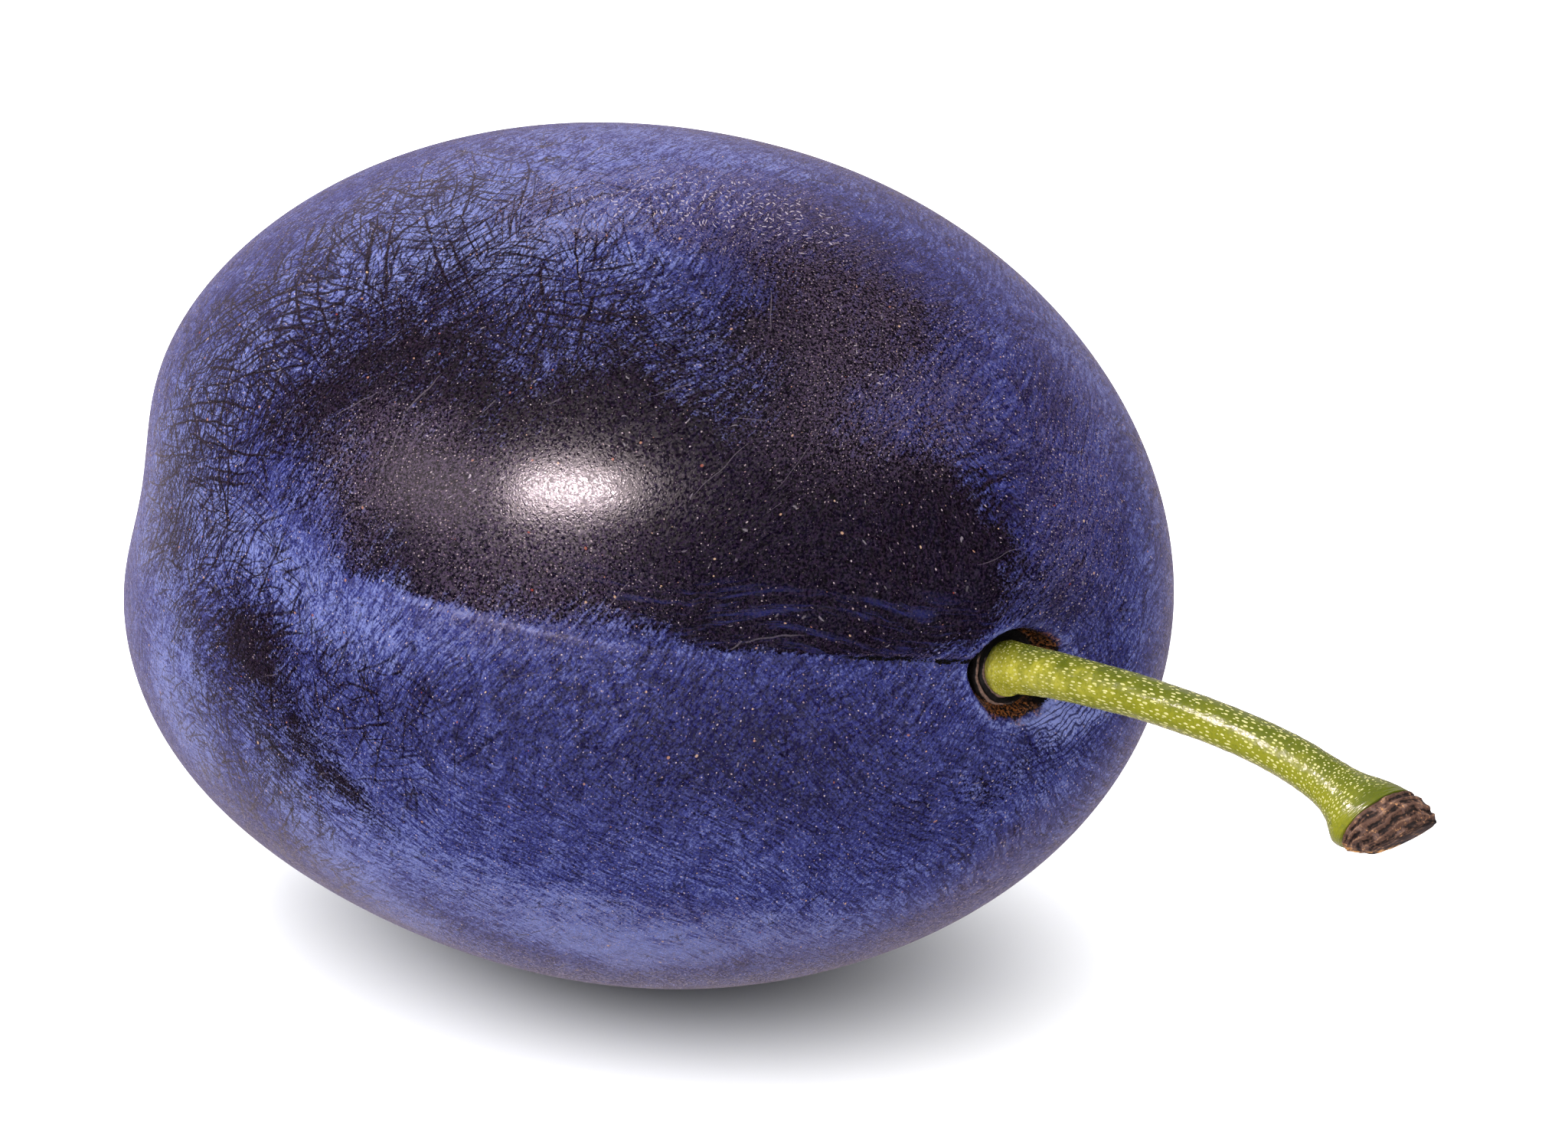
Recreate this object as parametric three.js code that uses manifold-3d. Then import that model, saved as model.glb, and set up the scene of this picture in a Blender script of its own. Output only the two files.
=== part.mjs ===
// A ripe blue plum lying on its cheek, with the stalk it was picked by.
//
// Units are millimetres. The origin is the centre of the small flat spot that the fruit rests on.
// +X runs along the fruit towards the stalk, the suture (the crease down the fruit) faces -Y,
// and +Z is up.

import * as THREE from "three";
import { mergeVertices } from "three/addons/utils/BufferGeometryUtils.js";
import Module from "manifold-3d";

const wasm = await Module();
wasm.setup();

const { cos, sin, abs, exp, hypot, PI } = Math;
const { degToRad, lerp, smoothstep } = THREE.MathUtils;

// ---------------------------------------------------------------- driving dimensions: fruit

// Distances from the fruit's middle to its surface.
const STEM_END = 20.6;
const TIP_END = 23.6;
const SUTURE_SIDE = 18.5;
const BACK_SIDE = 19.6;
const CHEEK_SIDE = 16.8;
const UPPER_CHEEK_FULLNESS = 0.012; // share by which the upper cheek stands further out
const TIP_SQUARENESS = 0.06; // how much blunter than an ellipse the tip end is

// Both ends sit off the axis: [towards the suture, towards the upper cheek].
const STEM_LEAN = [-2.3, -0.1];
const TIP_LEAN = [1.1, -0.5];
const LEAN_REACH = 0.9; // radians from an end over which its lean dies away

// One low lobe swells the lower cheek near the tip.
const LOBE_HEIGHT = 1.7;
const LOBE_POLAR = degToRad(137.5);
const LOBE_TURN = degToRad(-71);
const LOBE_WIDTH = 0.53; // radians

// The suture is a broad valley, deep at both ends, with a narrow crease along its bottom.
const VALLEY_AT_STEM = 1.6;
const VALLEY_AT_WAIST = 0.3;
const VALLEY_AT_TIP = 1.6;
const VALLEY_WIDTH = degToRad(32.5);
const SUTURE_SWAY = degToRad(3.4);
const CREASE_AT_STEM = 0.3;
const CREASE_AT_TIP = 0.1;
const CREASE_HALF_WIDTH = 0.4;

// The hollow that the stalk stands in.
const CAVITY_DEPTH = 1.4;
const CAVITY_RADIUS = 3.4;

// How the fruit lies: its middle stands above the flat spot, a little to one side of it.
const FRUIT_MIDDLE = new THREE.Vector3(1.3, -0.9, 16.56);
const SUTURE_RAISED = degToRad(9.9);
const STEM_END_RAISED = degToRad(2.1);

const FRUIT_MERIDIANS = 72;
const FRUIT_RINGS = 46;

// ---------------------------------------------------------------- driving dimensions: stalk

// Stations from the root of the stalk to its heel: where the middle of the section is, its
// radius, and how far its normal is pitched above the horizontal, in degrees.
const STALK_STATIONS = [
  { at: [20.3, 1.33, 16.72], radius: 1.07, pitch: 11 },
  { at: [21.1, 1.22, 16.95], radius: 0.97, pitch: 11 },
  { at: [24.3, 0.89, 17.51], radius: 0.88, pitch: 8 },
  { at: [28.6, 0.66, 17.98], radius: 0.83, pitch: 4 },
  { at: [32.7, 0.66, 18.08], radius: 0.81, pitch: -1 },
  { at: [36.0, 0.85, 17.8], radius: 0.85, pitch: -8 },
  { at: [38.0, 1.01, 17.32], radius: 0.92, pitch: -15 },
  { at: [39.0, 1.12, 16.93], radius: 1.13, pitch: -21 },
  { at: [39.85, 1.22, 16.54], radius: 1.56, pitch: -32 },
  { at: [40.3, 1.29, 16.42], radius: 1.6, pitch: -34 },
];
const STALK_SIDES = 24;
const STALK_STEPS = 34;

// The heel is the scrap of bark on the end of the stalk, where it broke from the spur.
const HEEL_STATIONS = [
  { at: [40.34, 1.3, 16.4], radius: 1.58, pitch: -34 },
  { at: [40.9, 1.38, 16.28], radius: 1.64, pitch: -42 },
  { at: [41.58, 1.47, 16.03], radius: 1.36, pitch: -50 },
];
const HEEL_RIDGES = 4;
const HEEL_RIDGE_HEIGHT = 0.06;
const HEEL_SIDES = 32;
const HEEL_STEPS = 16;

// ---------------------------------------------------------------- driving dimensions: collar

// The corky collar is a ring with two ridges, let into the floor of the hollow.
const COLLAR_OUTER_RADIUS = 1.7;
const COLLAR_INNER_RADIUS = 1.16;
const COLLAR_TOP = 0.16;
const COLLAR_GROOVE = 0.04;
const COLLAR_DEPTH = 0.36;
const COLLAR_PITCH = degToRad(8);
const COLLAR_SIDES = 40;

// Clearance between pieces that touch.
const GAP = 0.05;

// ---------------------------------------------------------------- helpers

// Turns a geometry into a solid that can be cut.
function toSolid(geometry) {
  const bare = geometry.clone();
  bare.deleteAttribute("normal");
  bare.deleteAttribute("uv");
  const merged = mergeVertices(bare, 1e-4);
  const vertProperties = new Float32Array(merged.attributes.position.array);
  const triVerts = new Uint32Array(merged.index.array);
  return new wasm.Manifold(new wasm.Mesh({ numProp: 3, vertProperties, triVerts }));
}

// Turns a cut solid back into a geometry.
function toGeometry(solid) {
  const mesh = solid.getMesh();
  const geometry = new THREE.BufferGeometry();
  geometry.setAttribute("position", new THREE.BufferAttribute(mesh.vertProperties, 3));
  geometry.setIndex(new THREE.BufferAttribute(mesh.triVerts, 1));
  geometry.computeVertexNormals();
  return geometry;
}

// A mesh with the name and finish of one piece.
function piece(name, geometry, finish) {
  const mesh = new THREE.Mesh(geometry, new THREE.MeshStandardMaterial(finish));
  mesh.name = name;
  return mesh;
}

// A curve through one value of every station, so that both can be read at the same place.
function throughStations(stations, read) {
  const points = stations.map((station) => new THREE.Vector3(...read(station)));
  return new THREE.CatmullRomCurve3(points, false, "catmullrom", 0.5);
}

// A solid of round sections strung along the stations. relief(share) is added to the radius.
function strungSections(stations, sides, steps, relief) {
  const path = throughStations(stations, (station) => station.at);
  const girth = throughStations(stations, (station) => [station.radius, station.pitch, 0]);
  const profile = [new THREE.Vector2(0, 0)];
  for (let step = 0; step <= steps; step += 1) {
    profile.push(new THREE.Vector2(1, step / steps));
  }
  profile.push(new THREE.Vector2(0, 1));
  const geometry = new THREE.LatheGeometry(profile, sides);
  const position = geometry.attributes.position;
  const vertex = new THREE.Vector3();
  for (let index = 0; index < position.count; index += 1) {
    vertex.fromBufferAttribute(position, index);
    const share = vertex.y;
    const middle = path.getPoint(share);
    const section = girth.getPoint(share);
    const radius = section.x + relief(share);
    const pitch = degToRad(section.y);
    const up = vertex.x * radius;
    position.setXYZ(
      index,
      middle.x - up * sin(pitch),
      middle.y + vertex.z * radius,
      middle.z + up * cos(pitch),
    );
  }
  return geometry;
}

// ---------------------------------------------------------------- fruit

// Packs the meridians together at the suture. share runs from -1 to 1 round the fruit.
function meridianTurn(share) {
  return PI * share * (1 - 0.85 * exp(-((share / 0.15) ** 2)));
}

// Packs the rings together at the stem end. share runs from 0 there to 1 at the tip.
function ringPolar(share) {
  return PI * share * (1 - 0.5 * exp(-((share / 0.12) ** 2)));
}

// How far an offset towards the suture and the upper cheek applies near one end.
function leanShare(fromEnd) {
  return exp(-((fromEnd / LEAN_REACH) ** 2));
}

// Depth of the broad valley and the crease in it.
function sutureDepth(polar, turn) {
  const towardsTip = smoothstep(polar, 1.5, 2.7);
  const towardsStem = 1 - smoothstep(polar, 0.3, 1.2);
  const fade = smoothstep(PI - polar, 0.02, 0.35) * smoothstep(polar, 0.02, 0.3);
  const valley =
    VALLEY_AT_WAIST +
    (VALLEY_AT_TIP - VALLEY_AT_WAIST) * towardsTip +
    (VALLEY_AT_STEM - VALLEY_AT_WAIST) * towardsStem;
  const crease = lerp(CREASE_AT_STEM, CREASE_AT_TIP, polar / PI);
  const fromCrease = (turn * SUTURE_SIDE * sin(polar)) / CREASE_HALF_WIDTH;
  const across = (1 + (turn / VALLEY_WIDTH) ** 2) ** -2;
  return fade * (valley * across + crease * exp(-(fromCrease ** 2)));
}

// A point of the skin before the fruit is laid down: X towards the stem end, -Y towards the
// suture and Z towards the upper cheek. polar is the angle from the stem end, and turn is the
// angle round the axis, from the suture towards the upper cheek.
function skinPoint(polar, turn) {
  const along = cos(polar);
  const out = sin(polar);
  const power = 2 + TIP_SQUARENESS * 0.5 * (1 - along);
  const round = (abs(along) ** power + out ** power) ** (-1 / power);

  let x = along * round * (along > 0 ? STEM_END : TIP_END);
  const swayed = turn + SUTURE_SWAY * out ** 2;
  const side = cos(swayed) > 0 ? SUTURE_SIDE : BACK_SIDE;
  const fullness = 1 + UPPER_CHEEK_FULLNESS * sin(swayed);
  const stemLean = leanShare(polar);
  const tipLean = leanShare(PI - polar);
  let toSuture = out * round * cos(swayed) * side;
  let toCheek = out * round * sin(swayed) * CHEEK_SIDE * fullness;
  toSuture += STEM_LEAN[0] * stemLean + TIP_LEAN[0] * tipLean;
  toCheek += STEM_LEAN[1] * stemLean + TIP_LEAN[1] * tipLean;

  const lobe = [cos(LOBE_POLAR), sin(LOBE_POLAR) * cos(LOBE_TURN), sin(LOBE_POLAR) * sin(LOBE_TURN)];
  const fromLobe = hypot(along - lobe[0], out * cos(turn) - lobe[1], out * sin(turn) - lobe[2]);
  const swell = LOBE_HEIGHT * exp(-((fromLobe / LOBE_WIDTH) ** 2));
  x += swell * lobe[0];
  toSuture += swell * lobe[1];
  toCheek += swell * lobe[2];

  const inwards = 1 - sutureDepth(polar, turn) / hypot(x, toSuture, toCheek);
  const fromStalk = (out * round * SUTURE_SIDE) / CAVITY_RADIUS;
  const hollow = along > 0 ? CAVITY_DEPTH * exp(-(fromStalk ** 2)) : 0;
  return new THREE.Vector3(x * inwards - hollow, -toSuture * inwards, toCheek * inwards);
}

// Lays a point of the skin down in its place above the flat spot.
function layDown(point) {
  point.applyAxisAngle(new THREE.Vector3(1, 0, 0), -SUTURE_RAISED);
  point.applyAxisAngle(new THREE.Vector3(0, 1, 0), -STEM_END_RAISED);
  return point.add(FRUIT_MIDDLE);
}

function skinGeometry() {
  const geometry = new THREE.SphereGeometry(1, FRUIT_MERIDIANS, FRUIT_RINGS);
  const { position, uv } = geometry.attributes;
  for (let index = 0; index < position.count; index += 1) {
    const polar = ringPolar(1 - uv.getY(index));
    const turn = meridianTurn(1 - 2 * uv.getX(index));
    const point = layDown(skinPoint(polar, turn));
    position.setXYZ(index, point.x, point.y, point.z);
  }
  return geometry;
}

// The block that the flat spot is cut with reaches from z = 0 down past the fruit.
function floorBlock() {
  const side = 4 * TIP_END;
  const block = new THREE.BoxGeometry(side, side, side);
  block.translate(0, 0, -side / 2);
  return block;
}

// ---------------------------------------------------------------- collar

// The collar stands round the middle of the hollow, square to the stalk's root.
const collarPlace = new THREE.Matrix4()
  .makeRotationY(PI / 2 - COLLAR_PITCH)
  .setPosition(layDown(skinPoint(0, 0)));

// A round solid about Z, made from a profile of [radius, height] points, set in the hollow.
function aboutStalk(profile, sides) {
  const points = profile.map(([radius, height]) => new THREE.Vector2(radius, height));
  const geometry = new THREE.LatheGeometry(points, sides);
  geometry.rotateX(PI / 2);
  return geometry.applyMatrix4(collarPlace);
}

function collarGeometry() {
  const width = COLLAR_OUTER_RADIUS - COLLAR_INNER_RADIUS;
  const at = (share) => COLLAR_INNER_RADIUS + share * width;
  const profile = [
    [at(0), -COLLAR_DEPTH],
    [at(1), -COLLAR_DEPTH],
    [at(1), COLLAR_GROOVE],
    [at(0.9), COLLAR_TOP * 0.8],
    [at(0.72), COLLAR_TOP * 0.8],
    [at(0.58), COLLAR_GROOVE],
    [at(0.45), COLLAR_GROOVE],
    [at(0.3), COLLAR_TOP],
    [at(0.12), COLLAR_TOP],
    [at(0), COLLAR_GROOVE],
    [at(0), -COLLAR_DEPTH],
  ];
  return aboutStalk(profile, COLLAR_SIDES);
}

// The seat is the round socket in the fruit that the collar and the stalk's root stand in.
function seatGeometry() {
  const radius = COLLAR_OUTER_RADIUS + GAP;
  const floor = -COLLAR_DEPTH - GAP;
  const mouth = CAVITY_DEPTH;
  return aboutStalk([[0, floor], [radius, floor], [radius, mouth], [0, mouth]], COLLAR_SIDES);
}

// ---------------------------------------------------------------- assembly

const fruitSolid = toSolid(skinGeometry())
  .subtract(toSolid(floorBlock()))
  .subtract(toSolid(seatGeometry()));

const plum = new THREE.Group();
plum.add(
  piece("fruit", toGeometry(fruitSolid), { color: 0x2b2f5c, roughness: 0.42, metalness: 0 }),
  piece("stalk_collar", collarGeometry(), { color: 0x3d241a, roughness: 0.85, metalness: 0 }),
  piece(
    "stalk",
    strungSections(STALK_STATIONS, STALK_SIDES, STALK_STEPS, () => 0),
    { color: 0x7f9a2c, roughness: 0.4, metalness: 0 },
  ),
  piece(
    "stalk_heel",
    strungSections(
      HEEL_STATIONS,
      HEEL_SIDES,
      HEEL_STEPS,
      (share) => HEEL_RIDGE_HEIGHT * (1 - cos(2 * PI * HEEL_RIDGES * share)) * 0.5,
    ),
    { color: 0x4a3028, roughness: 0.9, metalness: 0 },
  ),
);

export default plum;
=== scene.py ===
"""A ripe blue plum lying on its lower cheek, with its green stalk, on a pale studio floor."""

import math

import bmesh
import bpy
import numpy as np
from mathutils import Matrix, Vector, noise


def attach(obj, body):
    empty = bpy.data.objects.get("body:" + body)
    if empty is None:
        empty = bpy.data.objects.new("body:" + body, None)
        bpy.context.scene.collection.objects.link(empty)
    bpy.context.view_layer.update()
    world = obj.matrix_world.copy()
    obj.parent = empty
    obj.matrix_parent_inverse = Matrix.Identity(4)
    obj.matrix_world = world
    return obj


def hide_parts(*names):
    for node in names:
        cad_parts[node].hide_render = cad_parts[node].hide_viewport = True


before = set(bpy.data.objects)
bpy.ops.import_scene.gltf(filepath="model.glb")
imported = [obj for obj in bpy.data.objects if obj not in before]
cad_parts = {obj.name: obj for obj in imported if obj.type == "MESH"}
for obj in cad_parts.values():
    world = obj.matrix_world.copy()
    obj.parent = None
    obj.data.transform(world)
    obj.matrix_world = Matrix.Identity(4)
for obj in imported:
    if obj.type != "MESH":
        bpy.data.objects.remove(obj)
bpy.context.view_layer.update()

bl_info = {
    "name": "Blue plum",
    "version": (1, 0, 0),
    "blender": (4, 5, 0),
    "location": "View3D > Sidebar > Plum",
    "description": "Models a ripe blue plum with its bloom, stalk, corky ring and bark heel",
    "category": "Add Mesh",
}

MM = 0.001

# Where the fruit lies, in millimetres and radians, as in the solids.
FRUIT_MIDDLE = np.array([1.3, -0.9, 16.56])
SUTURE_RAISED = math.radians(9.9)
STEM_END_RAISED = math.radians(2.1)

# Form of the fruit, in millimetres and radians.
UPPER_CHEEK_FULLNESS = 0.012
TIP_SQUARENESS = 0.06
STEM_LEAN = (-2.3, -0.1)
TIP_LEAN = (1.1, -0.5)
LEAN_REACH = 0.9
LOBE_HEIGHT = 1.7
LOBE_POLAR = math.radians(137.5)
LOBE_TURN = math.radians(-71)
LOBE_WIDTH = 0.53
VALLEY_AT_STEM = 1.6
VALLEY_AT_WAIST = 0.3
VALLEY_AT_TIP = 1.6
VALLEY_WIDTH = math.radians(32.5)
SUTURE_SWAY = math.radians(3.4)
CREASE_DEPTH = 0.3
CREASE_REACH = 0.5
CREASE_HALF_WIDTH = 0.25
CREASE_RISE = 0.42
CAVITY_DEPTH = 1.4
CAVITY_RADIUS = 3.4

# The pit that the ring and the stalk stand in: half sizes towards the suture, up and down.
PIT_ACROSS = 2.2
PIT_BEYOND = 2.4
PIT_UP = 1.62
PIT_DOWN = 1.92
PIT_DEPTH = 0.85
PIT_LIP = 0.07

# Mesh of the fruit: meridians crowd along the suture and rings crowd at the stem end.
MERIDIANS = 320
RINGS = 300
MERIDIAN_CROWDING = 0.85
MERIDIAN_CROWD_REACH = 0.15
RING_CROWDING = 0.22

# The flat map of the skin that its hair-fine marks are drawn on.
MAP_MIDDLE = Vector((0.726, -0.603, 0.331))
MAP_ACROSS = Vector((0.639, 0.769, 0.0))
MAP_RADIUS = 19.0
MAP_SIZE = 110.0
MAP_CURL = 1.6

# Stalk and heel: (middle of the section, radius, pitch in degrees), in millimetres.
STALK_STATIONS = (
    ((19.65, 1.42, 16.6), 0.8, 11),
    ((20.2, 1.34, 16.7), 1.08, 11),
    ((21.1, 1.22, 16.95), 0.97, 11),
    ((24.3, 0.89, 17.51), 0.88, 8),
    ((28.6, 0.66, 17.98), 0.83, 4),
    ((32.7, 0.66, 18.08), 0.81, -1),
    ((36.0, 0.85, 17.8), 0.85, -8),
    ((38.0, 1.01, 17.32), 0.92, -15),
    ((39.0, 1.12, 16.93), 1.13, -21),
    ((39.85, 1.22, 16.54), 1.56, -32),
    ((40.3, 1.29, 16.42), 1.6, -34),
)
HEEL_STATIONS = (
    ((40.34, 1.3, 16.4), 1.58, -34),
    ((40.9, 1.38, 16.28), 1.64, -42),
    ((41.58, 1.47, 16.03), 1.36, -50),
)
STALK_LENGTH = 21.0
STALK_GIRTH = 5.3

# Corky ring: outline of its section as (radius, height), and where it stands, in millimetres.
RING_PROFILE = (
    (0.9, -0.3),
    (0.98, 0.02),
    (1.04, 0.11),
    (1.1, 0.12),
    (1.17, 0.05),
    (1.24, 0.0),
    (1.31, 0.04),
    (1.38, 0.11),
    (1.45, 0.12),
    (1.52, 0.06),
    (1.57, -0.04),
    (1.57, -0.2),
    (1.45, -0.36),
    (1.1, -0.38),
)
RING_MIDDLE = (19.95, 1.37, 16.66)
RING_PITCH = math.radians(8)

# Camera and floor: how far beside and below the fruit's middle the camera looks, in metres.
VIEW_ASIDE = 0.00551
VIEW_BELOW = 0.0006
SENSOR_WIDTH = 36.0
FLOOR_SIZE = 6.0
FLOOR_WHITE = (0.9, 0.9, 0.9)

# Lights: the direction each comes from, the pieces that the gleam falls on, and the tints.
KEY_FROM = (0.325, -0.715, 0.552)
GLOW_FROM = (-0.2, -0.8, 0.43)
GLEAM_FROM = (-0.55, -0.62, 0.5)
FILL_FROM = (-0.8, -0.5, 0.35)
GLEAMING = "lit_by_gleam"
LIGHT_TINT = (1.0, 0.82, 0.85)
REFLECTION_TINT = (1.0, 0.82, 0.95)

# Patches on the skin: (middle in millimetres, half length, half breadth, turn in degrees from
# level, amount). The first rubbed ones lie above the suture and are cut off by it.
RUBBED_ABOVE = (
    ((2.1, -13.7, 28.9), 5.5, 3.4, -8, 0.42),
    ((5.5, -14.2, 27.0), 7.5, 2.8, -6, 0.72),
    ((13.0, -7.5, 27.8), 6.5, 3.8, -8, 0.72),
    ((16.8, -7.4, 23.6), 9.5, 4.2, -8, 1.3),
    ((18.9, -3.3, 21.8), 5.8, 3.6, -10, 1.0),
    ((13.8, -1.8, 29.2), 4.4, 5.8, -20, 1.1),
    ((10.8, -14.0, 24.2), 8.0, 4.2, -6, 1.2),
    ((2.5, -17.2, 24.2), 4.5, 3.0, -20, 0.3),
    ((9.2, -15.6, 23.4), 6.0, 2.3, -6, 0.72),
    ((17.6, -7.6, 20.2), 7.5, 1.9, -4, 1.1),
    ((11.0, -15.2, 21.8), 5.5, 1.8, -6, 0.5),
)
RUBBED = (
    ((0.3, -18.8, 17.0), 3.8, 1.7, -4, 0.9),
    ((-5.4, -18.2, 15.6), 2.0, 2.8, 0, 0.36),
    ((-0.4, -18.7, 13.7), 6.2, 3.8, -34, 0.8),
    ((3.6, -18.2, 13.4), 2.4, 1.7, -50, 0.6),
    ((4.9, -17.7, 11.3), 1.9, 1.2, -50, 0.45),
    ((-8.0, -17.0, 16.5), 4.0, 3.4, 0, 0.32),
    ((-8.3, -16.6, 21.0), 3.6, 3.6, 0, 0.4),
    # The next patch darkens the skin just below the pit.
    ((21.1, 1.0, 12.9), 2.8, 1.2, 0, 0.55),
    ((1.0, -13.0, 29.5), 15.0, 7.0, 0, 0.22),
    ((-14.0, 4.0, 28.0), 6.0, 4.0, 20, 0.6),
    ((4.0, 17.5, 22.0), 8.0, 4.0, 8, 0.7),
    ((-10.0, 14.0, 12.0), 5.0, 3.0, 30, 0.6),
)
BLOOMED = (
    ((-4.0, -12.5, 29.0), 7.0, 5.0, 20, 0.22),
    ((5.0, -8.0, 31.4), 5.5, 2.6, -10, 0.3),
    ((-1.0, -3.0, 33.0), 9.0, 4.0, 0, 0.22),
    ((13.5, -13.5, 16.0), 10.0, 3.6, -4, -0.15),
    ((12.0, -0.5, 30.3), 5.5, 6.0, -20, -0.4),
    ((16.5, -2.5, 26.5), 4.5, 4.0, -10, -0.2),
    ((2.0, -7.0, 32.0), 7.0, 3.6, 0, 0.36),
    ((-8.5, -16.5, 21.0), 5.5, 5.5, 0, 0.34),
    ((2.0, -18.5, 20.0), 8.0, 2.0, -16, 0.3),
    ((-7.0, -17.0, 12.0), 4.5, 3.0, -50, 0.4),
    ((1.0, -15.7, 7.6), 6.5, 2.8, -32, 0.4),
    ((8.5, -14.2, 7.6), 8.0, 3.2, -14, 0.3),
    ((14.0, -9.0, 5.5), 7.0, 2.0, 8, 0.35),
    ((19.6, -6.4, 14.5), 8.0, 5.0, -10, -0.22),
    ((19.0, 5.0, 22.5), 4.5, 6.5, -10, -0.28),
    ((20.9, 3.6, 14.4), 1.8, 1.3, -10, 0.5),
    ((18.2, 8.2, 24.4), 2.6, 6.0, -12, 0.24),
    ((-15.0, -8.0, 18.0), 6.0, 6.0, 0, 0.2),
    ((-4.0, 14.0, 26.0), 9.0, 5.0, 10, 0.25),
    ((10.0, 14.0, 12.0), 7.0, 5.0, -10, 0.2),
)
SCRATCHED = (
    ((-2.0, -12.5, 29.0), 13.0, 8.5, 0, 0.62),
    ((-8.0, -16.5, 21.0), 6.0, 6.0, 0, 0.22),
    ((9.0, -11.0, 29.5), 8.0, 5.0, -8, 0.35),
    ((2.0, -18.5, 17.0), 8.0, 4.0, -20, 0.4),
    ((-3.0, -16.5, 10.0), 7.0, 5.0, -40, 0.35),
    ((18.5, -2.0, 24.5), 5.0, 4.0, -10, 0.35),
    ((0.0, 12.0, 28.0), 12.0, 8.0, 0, 0.5),
    ((0.0, 18.0, 16.0), 10.0, 8.0, 0, 0.4),
)
# Dusty patches; the first two lie round the highlight and paint its glints, a painted highlight.
DUSTY_AND_GLINTING = (
    ((6.6, -16.0, 24.6), 4.6, 2.6, -4, 0.62),
    ((11.5, -14.6, 22.3), 5.0, 3.0, -4, 0.5),
    ((16.5, -2.5, 27.2), 5.5, 3.6, -16, 0.42),
    ((6.0, -3.0, 33.0), 6.5, 3.2, -8, 0.95),
    ((11.0, -0.5, 31.2), 5.0, 4.0, -10, 0.36),
    ((17.0, 1.2, 8.0), 5.0, 2.2, 36, 0.6),
    ((13.0, -10.0, 6.0), 9.0, 3.0, -12, 0.36),
    ((18.8, 6.4, 23.4), 3.6, 7.5, -12, 0.42),
    ((15.5, 1.0, 28.6), 5.5, 5.5, -20, 0.26),
    ((-12.0, 10.0, 26.0), 5.0, 4.0, 0, 0.35),
)
PATCH_DEPTH = 9.0
OVERALL_SCRATCHES = 0.1
OVERALL_RUB = 0.12
OVERALL_BLOOM = 0.46
OVERALL_DUST = 0.06

# Shades of the small marks, stalk, bark and cork: one tint, or (darkest, lightest).
MOTE_SHADES = ((0.2, 0.11, 0.11), (0.42, 0.34, 0.38))
FINE_MOTE_SHADES = ((0.14, 0.09, 0.1), (0.36, 0.28, 0.3))
SPECK_SHADES = ((0.17, 0.02, 0.012), (0.4, 0.27, 0.18))
CRUMB_TINT = (0.32, 0.27, 0.31)
NICK_TINT = (0.12, 0.095, 0.12)
# Near black painted shadow for the pit's inside and the crack by the stem.
PIT_SHADOW_TINT = (0.0022, 0.0014, 0.0012)
RUSSET_SHADES = ((0.004, 0.002, 0.0015), (0.19, 0.06, 0.014))
# The stalk's dark green serves its random grain and also its underside, painted shade; the top
# shade is painted shade along its upper edge.
STALK_SHADE = (0.075, 0.09, 0.003)
STALK_TOP_SHADE = (0.05, 0.066, 0.002)
BARK_GROOVE = (0.012, 0.006, 0.005)
BARK_CREST = (0.22, 0.12, 0.07)
BARK_FLECK = (0.13, 0.08, 0.07)
BARK_CRUMB = (0.42, 0.2, 0.08)
TORN_WOOD = ((0.2, 0.06, 0.01), (0.6, 0.3, 0.07))
CORK_TINT = (0.05, 0.03, 0.02)
# Cork from dark to the painted highlight on its crests.
CORK_SHADES_AND_LIT_CRESTS = ((0.007, 0.0035, 0.003), (0.22, 0.12, 0.09))


class FruitSizes(bpy.types.PropertyGroup):
    """Half sizes of the fruit."""

    stem_end: bpy.props.FloatProperty(
        name="Stem end",
        description="Middle of the fruit to its stem end",
        default=0.0206,
        min=0.01,
        unit="LENGTH",
    )
    tip_end: bpy.props.FloatProperty(
        name="Tip end",
        description="Middle of the fruit to its tip",
        default=0.0236,
        min=0.01,
        unit="LENGTH",
    )
    suture_side: bpy.props.FloatProperty(
        name="Suture side",
        description="Middle of the fruit to the side that the suture runs along",
        default=0.0185,
        min=0.01,
        unit="LENGTH",
    )
    back_side: bpy.props.FloatProperty(
        name="Back side",
        description="Middle of the fruit to the side opposite the suture",
        default=0.0196,
        min=0.01,
        unit="LENGTH",
    )
    cheek_side: bpy.props.FloatProperty(
        name="Cheek side",
        description="Middle of the fruit to either cheek",
        default=0.0168,
        min=0.01,
        unit="LENGTH",
    )


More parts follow.
